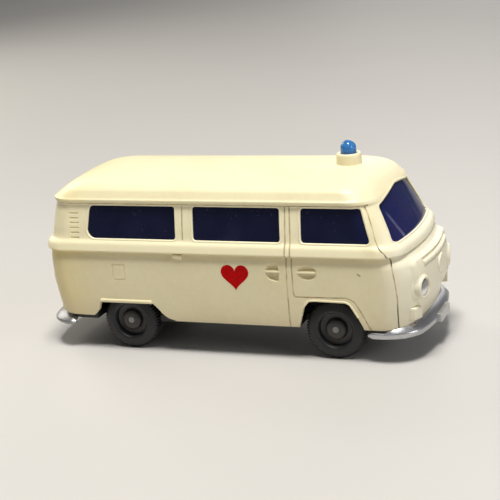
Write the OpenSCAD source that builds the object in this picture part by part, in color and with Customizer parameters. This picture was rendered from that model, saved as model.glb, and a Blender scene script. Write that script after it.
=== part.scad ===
/* [Overall] */
// Length from the number panel to the back of the rear bumper
overall_l = 51.95; // [48:0.05:56]
// Front axle to the number panel
front_reach = 11.66; // [10.5:0.01:13]
// Back of the rear bumper to the rear axle
rear_reach = 12.69; // [11.5:0.01:14]
// Width over the belt swage
body_w = 19.9; // [19.6:0.1:22]

/* [Heights] */
// Lower edge of the sills above the axle line
sill_rise = 0.45; // [0.3:0.05:0.7]
// Side panel from the sill to the belt swage
panel_h = 9.1; // [8:0.1:11]
// Swage height up to the foot of the windows
belt_h = 1.6; // [1.2:0.05:2.2]
// Window band from its foot to the gutter
pillar_h = 4.55; // [4:0.05:6]
// Height of the gutter bead
gutter_h = 0.48; // [0.35:0.01:0.7]
// Rise of the roof crown above the gutter
crown_h = 2.65; // [2:0.01:3.5]

/* [Body shape] */
// Number panel to the foremost point of the nose
nose_set = 0.8; // [0.7:0.05:1.1]
// Nose drawn back at the sill and under the belt
nose_tuck = 0.95; // [0.6:0.05:1.2]
// Bumper back to the rearmost point of the belt
tail_set = 0.85; // [0.6:0.05:1.3]
// Tail drawn in at the sill
tail_tuck = 1; // [0.6:0.05:1.3]
// Side panel drawn in at the sill
sill_tuck = 0.42; // [0.3:0.02:0.5]
// Swage proud of the panel under it
belt_proud = 0.22; // [0.12:0.01:0.3]
// Swage drawn in up to the foot of the windows
belt_step = 0.39; // [0.3:0.01:0.5]
// Nose to the foot of the windscreen
screen_set = 2.05; // [1.7:0.05:2.5]
// Lean of the windscreen
screen_lean_l = 2.35; // [1.8:0.05:3]
// Lean of the rear window band
tail_lean_l = 0.85; // [0.6:0.05:1.2]
// Lean of the side window band
side_lean_w = 0.72; // [0.5:0.02:0.9]
// Gutter bead proud of the roof edge
gutter_proud = 0.2; // [0.12:0.01:0.3]
// Bow of the nose across its width
nose_bow = 1.55; // [1.2:0.05:1.9]
// Bow of the windscreen across its width
screen_bow = 1.15; // [0.8:0.05:1.5]
// Bow of the tail across its width
tail_bow = 1; // [0.6:0.05:1.4]
// Rounding of the front corners seen from above
corner_front = 2.8; // [2.2:0.1:3.4]
// Rounding of the rear corners seen from above
corner_rear = 2.8; // [2.2:0.1:3.4]
// Length over which the roof rises behind the windscreen
roof_front_l = 7; // [5:0.1:9]
// Length over which the roof rises at the rear
roof_rear_l = 7.4; // [5:0.1:10]
// Fullness of the roof curves
crown_power = 2.3; // [2:0.1:2.8]
// Fullness of the roof above the windscreen
brow_power = 3.8; // [2.4:0.1:4.4]
// Wall of the moulding
wall = 0.6; // [0.5:0.02:0.65]

/* [Moulded detail] */
// Width of the engraved door lines
groove_w = 0.17; // [0.12:0.01:0.24]
// Depth of the engraved door lines
groove_d = 0.12; // [0.08:0.01:0.18]
// Depth of the handle bowls and louvres
bowl_d = 0.32; // [0.2:0.01:0.4]
// Corner radius of the side windows
window_r = 0.5; // [0.35:0.05:0.65]
// Headlamp bezel diameter
lamp_d = 2.7; // [2.2:0.05:3]
// Distance between the headlamp centres
lamp_span = 12.8; // [11.6:0.1:13.2]
// Front disc diameter
disc_d = 2.5; // [2:0.05:2.8]
// Relief of panels, lips and lugs on the moulding
relief = 0.2; // [0.14:0.01:0.26]

/* [Beacon] */
// Collar diameter at the roof
collar_d = 3.2; // [3.1:0.05:4]
// Collar height above the crown
collar_h = 1.3; // [0.8:0.05:1.4]
// Dome diameter
dome_d = 1.96; // [1.6:0.02:2.1]
// Dome height above the crown
beacon_h = 2.84; // [2.4:0.02:3.4]

/* [Glazing] */
// Thickness of the blue glazing
glass_t = 0.5; // [0.35:0.05:0.7]
// Panes set back from the body surface
pane_set = 0.14; // [0.08:0.01:0.25]

/* [Wheels] */
// Tyre diameter
tyre_d = 7.6; // [7.2:0.05:7.8]
// Tyre width
tyre_w = 2.2; // [1.8:0.05:2.3]
// Outer tyre wall set in from the belt swage
track_in = 1.15; // [1.1:0.05:1.35]
// Hub diameter inside the tyre
hub_d = 4.2; // [3.8:0.05:4.6]
// Axle wire diameter
axle_d = 1; // [0.8:0.05:1.2]

/* [Chassis] */
// Thickness of the base plate
plate_t = 0.8; // [0.6:0.05:1]
// Height of the plain floor pan under the plate
pan_h = 1.1; // [0.8:0.05:1.4]
// Length of the floor pan
pan_l = 15; // [12:0.5:16.5]
// Bumper bar thickness
bumper_t = 0.85; // [0.7:0.05:1]
// Height of the bumper across the front
bumper_h = 1.45; // [1.2:0.05:1.7]
// Width of the bare number panel
number_w = 4.6; // [4:0.1:6]
// Number panel proud of the front bumper
number_proud = 0.25; // [0.15:0.01:0.35]

/* [Fits] */
// Axle wire running in its bearing, on the radius
run_gap = 0.05; // [0.02:0.01:0.09]
// Inserts inside the moulding
seat_gap = 0.05; // [0.03:0.01:0.08]

/* [Hidden] */
$fn = 36;

// stations and levels
half_w = body_w / 2;
front_x = overall_l / 2;
back_x = -front_x;
rear_axle_x = back_x + rear_reach;
front_axle_x = front_x - front_reach;
wheelbase = front_axle_x - rear_axle_x;
axles = [rear_axle_x, front_axle_x];
axle_z = tyre_d / 2;
track_w = body_w - 2 * track_in;
nose_x = front_x - nose_set;
tail_x = back_x + tail_set;
sill_z = axle_z + sill_rise;
belt_z = sill_z + panel_h;
foot_z = belt_z + belt_h;
gutter_z = foot_z + pillar_h;
edge_z = gutter_z + gutter_h;
roof_z = edge_z + crown_h;
panel_w = half_w - belt_proud;
foot_w = half_w - belt_step;
gutter_w = foot_w - side_lean_w;
belt_nose_share = 0.48;
belt_nose_x = nose_x - belt_nose_share * screen_set;
screen_x = nose_x - screen_set;
brow_x = screen_x - screen_lean_l;
edge_x = brow_x - screen_lean_l * gutter_h / pillar_h;
tail_foot_share = 0.8;
tail_foot_x = tail_x + tail_lean_l * tail_foot_share;
tail_edge_x = tail_foot_x + tail_lean_l;
// overrun of every cut
over_share = 0.125;
over = over_share * body_w;
sides = [-1, 1];

// a station along the flank: -1 rear bumper, 0 rear axle, 1 front axle, 2 number panel
function along(share) = share < 0 ? rear_axle_x + share * rear_reach
    : share > 1 ? front_axle_x + (share - 1) * front_reach : rear_axle_x + share * wheelbase;
// heights as shares of the side panel and of the window band
function panel_at(share) = sill_z + share * panel_h;
function band_at(share) = foot_z + share * pillar_h;
function mix(a, b, t) = a + (b - a) * t;

// section rows: height, half width, nose, nose bow, front corner, tail, tail bow, rear corner
// lower rows: height share, then how much of the side, nose and tail tuck they take
lower_shares = [[0, 1, 0.85, 1], [0.03, 0.62, 0.72, 0.93], [0.2, 0.3, 0.33, 0.7], [0.42, 0.08, 0.05, 0.42],
    [0.65, 0, 0, 0.25], [0.84, 0.02, 0.22, 0.2], [0.93, 0.05, 0.55, 0.21], [0.975, 0.1, 1.05, 0.22]];
// swage rows: height share, how far out they stand
belt_shares = [[0, 0.82], [0.12, 1], [0.35, 1], [0.55, 0.86], [0.75, 0.47], [0.9, 0.13], [1, 0]];
pillar_shares = [0.33, 0.66, 0.995];
gutter_shares = [[0, 1], [0.72, 1.1], [0.98, 0.15]];
crown_shares = [0.06, 0.18, 0.34, 0.5, 0.66, 0.8, 0.91, 0.975];
lining_lower_shares = [[0.2, 0.3, 0.33, 0.7], [0.65, 0, 0, 0.25], [0.975, 0.1, 1.05, 0.22]];
lining_crown_shares = [0.2, 0.5, 0.8, 0.97];
corner_cap_share = 0.84;
gutter_tail_share = 0.2;
conic_share = 1.45;
// points along each half end and each corner of a section
skin_steps = [5, 6];
lining_steps = [4, 5];

function lower_row(r, d) = [panel_at(r[0]), panel_w - r[1] * sill_tuck - d,
    nose_x - r[2] * nose_tuck - d, nose_bow, corner_front,
    tail_x + r[3] * tail_tuck + d, tail_bow, corner_rear];
function belt_row(r, d) = [belt_z + r[0] * belt_h, foot_w + r[1] * belt_step - d,
    mix(screen_x, belt_nose_x, r[1]) - d, mix(screen_bow, nose_bow, r[1]), corner_front,
    mix(tail_foot_x, tail_x, r[1]) + d, tail_bow, corner_rear];
function pillar_row(s, d) = [band_at(s), foot_w - s * side_lean_w - d,
    screen_x - s * screen_lean_l - d, screen_bow, corner_front,
    mix(tail_foot_x, tail_edge_x, s) + d, tail_bow, corner_rear];
function gutter_row(r, d) = [gutter_z + r[0] * gutter_h, gutter_w + r[1] * gutter_proud - d,
    mix(brow_x, edge_x, r[0]) - d, screen_bow, corner_front,
    tail_edge_x - r[1] * gutter_tail_share * gutter_proud + d, tail_bow, corner_rear];
function crown_in(h, power) = 1 - pow(1 - h, 1 / power);
function crown_out(h) = pow(1 - pow(h, crown_power), 1 / crown_power);
function crown_row(h, d) = [edge_z + h * (crown_h - d), (gutter_w - d) * crown_out(h),
    edge_x - d - roof_front_l * crown_in(h, brow_power), screen_bow * crown_out(h), corner_front,
    tail_edge_x + d + roof_rear_l * crown_in(h, crown_power), tail_bow * crown_out(h), corner_rear];
function skin_rows(d) = concat([for (r = lower_shares) lower_row(r, d)],
    [for (r = belt_shares) belt_row(r, d)],
    [for (s = pillar_shares) pillar_row(s, d)], [for (r = gutter_shares) gutter_row(r, d)],
    [for (h = crown_shares) crown_row(h, d)]);
function lowered(row, z) = [for (i = [0:len(row) - 1]) i == 0 ? z : row[i]];
function lining_rows(d) = concat([lowered(lower_row(lining_lower_shares[0], d), sill_z - over)],
    [for (r = lining_lower_shares) lower_row(r, d)],
    [for (s = pillar_shares) pillar_row(s, d)], [for (h = lining_crown_shares) crown_row(h, d)]);

// half of a section seen from above: bowed end, conic corner, straight side, corner, bowed end
function conic(a, b, c, t) = let (k = conic_share * t * (1 - t), p = (1 - t) * (1 - t), q = t * t)
    (a * p + b * k + c * q) / (p + k + q);
function end_curve(x, bow, w, y) = x - bow * pow(y / w, 2);
function corner_knots(x, bow, corner, w) = let (c = min(corner, corner_cap_share * w), y = w - c,
    x0 = end_curve(x, bow, w, y), x1 = x0 - 2 * bow * y / (w * w) * c) [[x0, y], [x1, w], [x1 - c, w]];
function end_half(x, bow, corner, w, n, m) = let (k = corner_knots(x, bow, corner, w))
    concat([for (j = [0:n - 1]) [end_curve(x, bow, w, k[0][1] * j / n), k[0][1] * j / n]],
        [for (j = [0:m]) conic(k[0], k[1], k[2], j / m)]);
function half_loop(r, n, m) = let (a = end_half(r[2], r[3], r[4], r[1], n, m),
    b = end_half(-r[5], r[6], r[7], r[1], n, m), k = len(b) - 1)
    concat(a, [for (j = [0:k]) [-b[k - j][0], b[k - j][1]]]);
function loop(r, n, m) = let (a = half_loop(r, n, m), k = len(a))
    concat(a, [for (j = [2:k - 1]) [a[k - j][0], -a[k - j][1]]]);

// closed solid through a stack of sections
module loft(rows, steps) {
    loops = [for (r = rows) loop(r, steps[0], steps[1])];
    count = len(loops[0]);
    top = len(rows) - 1;
    points = [for (i = [0:top]) for (p = loops[i]) [p[0], p[1], rows[i][0]]];
    walls = [for (i = [0:top - 1]) for (j = [0:count - 1]) let (k = (j + 1) % count)
        each [[i * count + j, (i + 1) * count + j, (i + 1) * count + k],
            [i * count + j, (i + 1) * count + k, i * count + k]]];
    floor_face = [for (j = [0:count - 1]) j];
    roof_face = [for (j = [0:count - 1]) top * count + count - 1 - j];
    polyhedron(points, concat([floor_face], walls, [roof_face]));
}
module skin(d) {
    loft(skin_rows(d), skin_steps);
}
module lining(d) {
    loft(lining_rows(d), lining_steps);
}
// a rod standing through one flank, seen square from the side
module flank_rod(x, z, d, flank, n) {
    translate([x, 0, z])
        rotate([flank * 90, 0, 0])
        cylinder(h = half_w + over, d = d, $fn = n);
}
// a rod along the length, through the nose or the tail
module end_rod(y, z, d, end, n) {
    translate([0, y, z])
        rotate([0, end * 90, 0])
        cylinder(h = front_x + over, d = d, $fn = n);
}

// side windows: corner lists of station, foot or head, radius share
window_shares = [0.01, 0.945];
side_window_shares = [
    [[-0.318, 1, 1.5], [-0.37, 0, 2.4], [0.29, 0, 1], [0.29, 1, 1]],
    [[0.366, 1, 1], [0.366, 0, 1], [0.789, 0, 1], [0.789, 1, 1]],
    [[0.875, 1, 1.1], [0.875, 0, 1.1], [1.471, 0, 1], [1.357, 1, 1.1]]];
// windscreen and rear window knots: width share, foot or head, rise share of the band, radius share
screen_shares = [[0.845, 0, -0.055, 0.8], [0, 0, -0.05, 0.8], [0.78, 1, 0, 1.5], [0.6, 1, 0.08, 1.5],
    [0.3, 1, 0.18, 1.5], [0, 1, 0.23, 1.5]];
rear_window_shares = [[0.72, 0, 0.06, 1.5], [0.64, 1, -0.06, 1.5]];
window_sides = 20;
function window_z(k) = band_at(window_shares[k]);
function band_w(k) = k == 0 ? foot_w : gutter_w;
module side_window(corners, flank, gap) {
    hull() for (i = [0:3]) {
        c = corners[i];
        r = c[2] * window_r;
        lean = i < 2 ? r : -r;
        rise = c[1] == 0 ? r : -r;
        flank_rod(along(c[0]) + lean, window_z(c[1]) + rise, 2 * (r - gap), flank, window_sides);
    }
}
module end_window(knots, end, gap) {
    hull() for (k = knots) for (s = sides) {
        r = k[3] * window_r;
        rise = k[1] == 0 ? r : -r;
        end_rod(s * max(k[0] * band_w(k[1]) - r, 0), window_z(k[1]) + k[2] * pillar_h + rise,
            2 * (r - gap), end, window_sides);
    }
}
module windows(gap) {
    for (flank = sides) for (corners = side_window_shares) side_window(corners, flank, gap);
    end_window(screen_shares, 1, gap);
    end_window(rear_window_shares, -1, gap);
}

// wheel openings and the lower edge behind the rear wheel:
// places from the axle and the sill in tyre diameters
rear_arch_shares = [[-0.52, -0.6], [-0.52, 0.156], [-0.461, 0.316], [0.505, 0.316], [0.603, 0.216],
    [0.683, 0.12], [0.766, 0.054], [0.893, 0.012], [0.98, -0.6]];
front_arch_shares = [[-0.588, -0.6], [-0.563, 0.024], [-0.519, 0.175], [-0.465, 0.347], [-0.429, 0.399],
    [-0.374, 0.443], [-0.301, 0.462], [0.243, 0.453], [0.32, 0.414], [0.436, 0.204],
    [0.508, 0.048], [0.581, -0.6]];
quarter_shares = [[-2.2, -0.6], [-2.2, 0.11], [-1.45, 0.085], [-1.05, 0.058], [-0.617, 0.048], [-0.552, 0.08],
    [-0.508, 0.168], [-0.363, -0.6]];
module flank_opening(x, shares) {
    rotate([90, 0, 0])
        linear_extrude(body_w + over, center = true)
        polygon([for (p = shares) [x + p[0] * tyre_d, sill_z + p[1] * tyre_d]]);
}

// engraved lines: station and height share, on the window band and on the side panel
door_front_band_shares = [[1.388, 0.99], [1.424, 0.78], [1.469, 0.44], [1.502, 0.12], [1.53, -0.04]];
door_front_panel_shares = [[1.604, 1.06], [1.653, 0.95], [1.686, 0.7], [1.703, 0.44], [1.689, 0]];
door_rear_band_shares = [[0.832, 0.99]];
door_rear_panel_shares = [[0.832, 0.5], [0.835, 0.457], [0.842, 0.443], [1.166, 0.451], [1.22, 0.43],
    [1.251, 0.405], [1.303, 0.3], [1.412, 0]];
slide_front_band_shares = [[0.811, 0.99]];
slide_front_panel_shares = [[0.803, 0]];
slide_rear_band_shares = [[0.323, 0.99], [0.32, 0.02]];
flap_panel_shares = [[-0.094, 0.595], [0.016, 0.595], [0.016, 0.815], [-0.094, 0.815], [-0.094, 0.595]];
function on_panel(shares) = [for (p = shares) [along(p[0]), panel_at(p[1])]];
function on_band(shares) = [for (p = shares) [along(p[0]), band_at(p[1])]];
door_front = concat(on_band(door_front_band_shares), on_panel(door_front_panel_shares));
door_rear = concat(on_band(door_rear_band_shares), on_panel(door_rear_panel_shares));
slide_front = concat(on_band(slide_front_band_shares), on_panel(slide_front_panel_shares));
slide_rear = on_band(slide_rear_band_shares);
flap = on_panel(flap_panel_shares);
// tailgate and engine lid: height shares of the crossing lines, width share
gate_top_share = 0.93;
lid_shares = [0.62, 0.56, 0.2];
gate_w_share = 0.8;
rod_sides = 4;
module flank_line(list, flank) {
    for (i = [0:len(list) - 2]) hull() for (j = [0, 1])
        flank_rod(list[i + j][0], list[i + j][1], groove_w, flank, rod_sides);
}
module tail_line(a, b) {
    hull() for (p = [a, b]) end_rod(p[0], p[1], groove_w, -1, rod_sides);
}
module engraving() {
    gate_w = gate_w_share * gutter_w;
    levels = [for (s = lid_shares) panel_at(s)];
    for (flank = sides) {
        flank_line(door_front, flank);
        flank_line(door_rear, flank);
        tail_line([flank * gate_w, band_at(gate_top_share)], [flank * gate_w, levels[0]]);
        tail_line([flank * gate_w, levels[1]], [flank * gate_w, levels[2]]);
    }
    for (z = levels) tail_line([-gate_w, z], [gate_w, z]);
    for (list = [slide_front, slide_rear, flap]) flank_line(list, 1);
}

// bowls behind the door handles: station, height share, half length and half height in panel heights
handle_shares = [[0.743, 0.785, 0.103, 0.155], [0.9, 0.785, 0.136, 0.1]];
bar_share = 1.8;
louvre_count = 6;
louvre_end_shares = [-0.539, -0.435];
louvre_shares = [0.03, 0.71];
louvre_h_share = 0.06;
module bowl(h, flank) {
    translate([along(h[0]), 0, panel_at(h[1])])
        rotate([flank * 90, 0, 0])
        scale([h[2] * panel_h, h[3] * panel_h, 1])
        cylinder(h = half_w + over, r = 1, $fn = window_sides);
}
module louvres(flank) {
    for (i = [0:louvre_count - 1]) hull() for (s = louvre_end_shares)
        flank_rod(along(s), band_at(mix(louvre_shares[0], louvre_shares[1], i / (louvre_count - 1))),
            louvre_h_share * pillar_h, flank, rod_sides);
}
module bowls() {
    bowl(handle_shares[0], 1);
    for (flank = sides) {
        bowl(handle_shares[1], flank);
        louvres(flank);
    }
}
// the slice of the moulding within a block on one flank, standing out by d
module flank_block(d, x0, x1, z0, z1, flank) {
    intersection() {
        skin(-d);
        translate([x0, flank == 1 ? -half_w - over : half_w - wall - over, z0])
            cube([x1 - x0, wall + 2 * over, z1 - z0]);
    }
}
module handle_bars() {
    bar = bar_share * groove_w;
    for (flank = sides) for (h = flank == 1 ? handle_shares : [handle_shares[1]])
        flank_block(groove_d / 2, along(h[0]) - h[2] * panel_h, along(h[0]) + h[2] * panel_h,
            panel_at(h[1]) - bar / 2, panel_at(h[1]) + bar / 2, flank);
}

// front panel, lamp rings, disc, signals and grille: width share, lower and upper height share
lamp_z_share = 0.53;
disc_z_share = 0.635;
panel_shares = [0.775, 0.315, 0.93];
signal_shares = [0.66, 0.8, 0.11, 0.235];
tail_lamp_shares = [0.66, 0.78, 0.42, 0.6];
grille_shares = [0.56, 0.81, 0.89];
grille_count = 3;
// rise of the lamp rings and signals, of the lenses and of the disc as shares of the relief
ring_rise_share = 2;
lens_rise_share = 1.4;
disc_rise_share = 2;
ring_share = 0.78;
panel_round_share = 0.36;
module end_slice(d) {
    intersection() {
        skin(-d);
        children();
    }
}
module end_block(y0, y1, z0, z1, end) {
    translate([end == 1 ? 0 : back_x - over, y0, z0])
        cube([front_x + over, y1 - y0, z1 - z0]);
}
module nose_relief() {
    panel_r = panel_round_share * lamp_d;
    end_slice(relief) hull() for (s = sides) for (k = [1, 2]) {
        rise = k == 1 ? panel_r : -panel_r;
        end_rod(s * (panel_shares[0] * half_w - panel_r), panel_at(panel_shares[k]) + rise,
            2 * panel_r, 1, window_sides);
    }
    end_slice(ring_rise_share * relief) for (s = sides)
        end_rod(s * lamp_span / 2, panel_at(lamp_z_share), lamp_d, 1, window_sides);
    end_slice(disc_rise_share * relief) end_rod(0, panel_at(disc_z_share), disc_d, 1, window_sides);
    for (s = sides) {
        y = [s * signal_shares[0] * half_w, s * signal_shares[1] * half_w];
        end_slice(ring_rise_share * relief)
            end_block(min(y), max(y), panel_at(signal_shares[2]), panel_at(signal_shares[3]), 1);
        t = [s * tail_lamp_shares[0] * half_w, s * tail_lamp_shares[1] * half_w];
        end_slice(groove_d)
            end_block(min(t), max(t), panel_at(tail_lamp_shares[2]), panel_at(tail_lamp_shares[3]), -1);
    }
}
module lamp_dishes() {
    for (s = sides)
        end_rod(s * lamp_span / 2, panel_at(lamp_z_share), ring_share * lamp_d, 1, window_sides);
}
module grille() {
    for (i = [0:grille_count - 1]) hull() for (s = sides)
        end_rod(s * grille_shares[0] * half_w,
            panel_at(mix(grille_shares[1], grille_shares[2], i / (grille_count - 1))),
            groove_w, 1, rod_sides);
}

// lip over the rear wheel and the stop of the sliding door
lip_share = 0.043;
lip_end_share = 0.014;
stop_shares = [0.268, 0.312, 0.93, 0.975];
stop_rise_share = 1.2;
module flank_relief() {
    lip_low = sill_z + (rear_arch_shares[2][1] - lip_end_share) * tyre_d;
    lip_high = sill_z + (rear_arch_shares[2][1] + lip_share) * tyre_d;
    for (flank = sides)
        flank_block(relief, rear_axle_x + (rear_arch_shares[2][0] - lip_end_share) * tyre_d,
            rear_axle_x + (rear_arch_shares[3][0] + lip_end_share) * tyre_d, lip_low, lip_high, flank);
    flank_block(stop_rise_share * relief, along(stop_shares[0]), along(stop_shares[1]),
        panel_at(stop_shares[2]), panel_at(stop_shares[3]), 1);
}

collar_x_share = 1.04;
collar_taper_share = 0.93;
module collar() {
    translate([along(collar_x_share), 0, roof_z - wall])
        cylinder(h = collar_h + wall, d1 = collar_d, d2 = collar_d * collar_taper_share);
}
module body_shell() {
    color("ivory") difference() {
        union() {
            difference() {
                union() {
                    skin(0);
                    flank_relief();
                    nose_relief();
                    collar();
                }
                difference() {
                    bowls();
                    skin(bowl_d);
                }
                difference() {
                    engraving();
                    skin(groove_d);
                }
                difference() {
                    grille();
                    skin(0);
                }
                difference() {
                    lamp_dishes();
                    skin(-lens_rise_share * relief);
                }
            }
            handle_bars();
        }
        lining(wall);
        windows(0);
        flank_opening(rear_axle_x, rear_arch_shares);
        flank_opening(front_axle_x, front_arch_shares);
        flank_opening(rear_axle_x, quarter_shares);
        translate([along(collar_x_share), 0, roof_z - crown_h])
            cylinder(h = crown_h + collar_h + over, d = dome_d + 2 * seat_gap);
    }
}

// glazing: a ring inside the window band with a pane standing in every opening
glass_shares = [-0.1, 1.3];
module glazing() {
    color("midnightblue") difference() {
        union() {
            intersection() {
                lining(wall + seat_gap);
                translate([back_x, -half_w, band_at(glass_shares[0])])
                    cube([overall_l, body_w, (glass_shares[1] - glass_shares[0]) * pillar_h]);
            }
            intersection() {
                loft(skin_rows(pane_set), lining_steps);
                windows(seat_gap);
            }
        }
        lining(wall + seat_gap + glass_t);
    }
}

// blue dome on a plug that fills the collar
dome_step = 9;
module beacon_dome() {
    r = dome_d / 2;
    dome_z = roof_z + beacon_h - r;
    color("royalblue") translate([along(collar_x_share), 0, 0])
        rotate_extrude()
        polygon(concat([[0, roof_z - wall], [r, roof_z - wall]],
            [for (a = [0:dome_step:90 - dome_step]) [r * cos(a), dome_z + r * sin(a)]],
            [[0, roof_z + beacon_h]]));
}

// chassis: plate inside the shell, floor pan between the axles, a bored block for each axle
plate_sunk_share = 0.25;
plate_z = sill_z - plate_t * plate_sunk_share;
pan_z = plate_z - pan_h;
block_share = 2.4;
block_l = block_share * axle_d;
bearing_w = track_w - 2 * tyre_w - axle_d;
well_share = 1.18;
well_l = well_share * tyre_d;
module base_plate() {
    row = lower_row(lining_lower_shares[0], wall + 2 * seat_gap);
    outline = loop(row, lining_steps[0], lining_steps[1]);
    color("dimgray") difference() {
        union() {
            difference() {
                translate([0, 0, plate_z])
                    linear_extrude(plate_t)
                    polygon(outline);
                for (x = axles) for (s = sides)
                    translate([x - well_l / 2, s * (bearing_w + half_w) / 2 - half_w / 2, plate_z - over])
                        cube([well_l, half_w, plate_t + 2 * over]);
            }
            translate([along(1 / 2) - pan_l / 2, -bearing_w / 2, pan_z])
                cube([pan_l, bearing_w, pan_h]);
            for (x = axles)
                translate([x - block_l / 2, -bearing_w / 2, axle_z - block_l / 2])
                    cube([block_l, bearing_w, plate_z + plate_t - axle_z + block_l / 2]);
        }
        for (x = axles) translate([x, 0, axle_z])
            rotate([90, 0, 0])
            cylinder(h = body_w, d = axle_d + 2 * run_gap, center = true);
    }
}

// bumper bar: barrel posts joined one to the next along the bow
post_sides = 14;
foot_share = 0.6;
head_share = 0.5;
waist_shares = [0.25, 0.6];
module post(p, low, high) {
    h = high - low;
    translate([p[0], p[1], low])
        cylinder(h = h * waist_shares[0], d1 = bumper_t * foot_share, d2 = bumper_t, $fn = post_sides);
    translate([p[0], p[1], low + h * waist_shares[1]])
        cylinder(h = h * (1 - waist_shares[1]), d1 = bumper_t, d2 = bumper_t * head_share,
            $fn = post_sides);
}
module bar(path, low, tops) {
    for (i = [0:len(path) - 2]) hull() {
        post(path[i], low, tops[i]);
        post(path[i + 1], low, tops[i + 1]);
    }
}
// tongue from the bar to the face of the base plate
tongue_w_share = 0.6;
tongue_h_share = 0.7;
module tongue(x0, x1) {
    translate([x0, -bearing_w * tongue_w_share / 2, plate_z - plate_t * tongue_h_share])
        cube([x1 - x0, bearing_w * tongue_w_share, plate_t * tongue_h_share]);
}
front_low_share = 0.76;
front_end_share = 1.367;
front_in_share = 0.25;
bar_steps = [4, 5];
step_posts = 3;
number_shares = [-0.08, 0.72];
module front_bumper() {
    low = sill_z - bumper_h * front_low_share;
    face_x = front_x - number_proud;
    curve = end_half(face_x - bumper_t / 2, nose_bow, corner_front,
        panel_w - sill_tuck - bumper_t * front_in_share, bar_steps[0], bar_steps[1]);
    ends = len(curve);
    half = concat(curve, [[along(front_end_share) + bumper_t / 2, curve[ends - 1][1]]]);
    side_top = sill_z - 2 * seat_gap;
    front_top = low + bumper_h;
    tops = [for (i = [0:ends]) i < ends - step_posts ? front_top : side_top];
    color("silver") {
        for (s = sides) bar([for (p = half) [p[0], s * p[1]]], low, tops);
        tongue(nose_x - nose_tuck - corner_front, face_x - bumper_t / 2);
        translate([face_x - bumper_t / 2, -number_w / 2, low + number_shares[0] * bumper_h])
            cube([number_proud + bumper_t / 2, number_w, (number_shares[1] - number_shares[0]) * bumper_h]);
    }
}
rear_low_share = 0.76;
rear_bow_share = 1.5;
rear_h_share = 0.62;
rear_end_share = -0.6;
rear_w_share = 0.955;
module rear_bumper() {
    low = sill_z - bumper_h * rear_low_share;
    high = low + bumper_h * rear_h_share;
    curve = end_half(-back_x - bumper_t / 2, tail_bow * rear_bow_share, corner_rear,
        panel_w * rear_w_share, bar_steps[0], bar_steps[1]);
    half = concat(curve, [[-along(rear_end_share), curve[len(curve) - 1][1]]]);
    tops = [for (p = half) high];
    color("silver") {
        for (s = sides) bar([for (p = half) [-p[0], s * p[1]]], low, tops);
        tongue(back_x + bumper_t / 2, tail_x + tail_tuck + corner_rear);
    }
}

// cabin insert: tray, two cab seats, bench, and the wheel on its column
tray_share = 0.6;
tray_l_share = 1.3;
tray_x_share = 0.45;
// seat seen from the side: length share of the seat, height share of the panel
seat_profile_shares = [[0, 0], [0.9, 0], [1, 0.3], [0.97, 0.4], [0.85, 0.43], [0.42, 0.38],
    [0.2, 0.86], [0.12, 0.9], [0, 0.86], [0.14, 0.4]];
seat_l_share = 0.19;
// seats: station of the back, sideways share, width share
seat_shares = [[0.845, 0.26, 0.4], [0.845, -0.26, 0.4], [0.185, 0, 0.9]];
column_shares = [1.166, 0.26, 0.8];
column_lean = -20;
rim_shares = [1.6, 0.5];
module seat(x, y, z, w) {
    translate([x, y + w / 2, z])
        rotate([90, 0, 0])
        linear_extrude(w)
        polygon([for (p = seat_profile_shares) [p[0] * seat_l_share * wheelbase, p[1] * panel_h]]);
}
module steering(h) {
    rim_d = rim_shares[1] * axle_d;
    cylinder(h = h, d = axle_d);
    translate([0, 0, h]) {
        rotate_extrude()
            translate([rim_shares[0] * axle_d, 0])
            circle(d = rim_d);
        translate([0, 0, -rim_d / 2])
            cylinder(h = rim_d / 2, r = rim_shares[0] * axle_d);
    }
}
module seat_insert() {
    tray_z = plate_z + plate_t;
    tray_t = tray_share * plate_t;
    tray_w = bearing_w - 2 * wall;
    tray_l = tray_l_share * wheelbase;
    color("dimgray") {
        translate([along(tray_x_share) - tray_l / 2, -tray_w / 2, tray_z])
            cube([tray_l, tray_w, tray_t]);
        for (s = seat_shares) seat(along(s[0]), s[1] * tray_w, tray_z + tray_t, s[2] * tray_w);
        translate([along(column_shares[0]), column_shares[1] * tray_w, tray_z + tray_t])
            rotate([0, column_lean, 0])
            steering(column_shares[2] * panel_h);
    }
}

// wheels, turned about the axle and laid along the width: radial share, width share
hub_face_share = 0.14;
tyre_shares = [[0, 0.9], [0, 0.12], [0.08, 0.04], [0.2, 0.03], [0.3, 0.07], [0.45, 0.02], [0.62, 0],
    [0.78, 0.03], [0.91, 0.1], [0.985, 0.2], [1, 0.3], [1, 0.45], [0.95, 0.47],
    [0.95, 0.53], [1, 0.55], [1, 0.7], [0.97, 0.82], [0.85, 0.93], [0.55, 1], [0.2, 0.97]];
hub_shares = [[0.36, 0.13], [0.56, 0.17], [0.61, 0.24], [0.63, 0.36], [0.8, 0.38], [0.9, 0.26],
    [0.97, 0.16], [1, 0.2], [1, 0.9], [0.6, 0.9], [0.5, 1]];
module lay_wheel(x, side) {
    translate([x, side * track_w / 2, axle_z])
        rotate([side * 90, 0, 0])
        rotate_extrude()
        children();
}
module axle(x) {
    color("silver") translate([x, 0, axle_z])
        rotate([90, 0, 0])
        cylinder(h = track_w - 2 * hub_face_share * tyre_w, d = axle_d, center = true);
}
module tyre(x, side) {
    color("dimgray") lay_wheel(x, side)
        polygon([for (p = tyre_shares) [mix(hub_d, tyre_d, p[0]) / 2, p[1] * tyre_w]]);
}
module hub(x, side) {
    color("saddlebrown") lay_wheel(x, side)
        polygon(concat([[axle_d / 2, tyre_w], [axle_d / 2, hub_face_share * tyre_w]],
            [for (p = hub_shares) [p[0] * hub_d / 2, p[1] * tyre_w]]));
}

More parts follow.
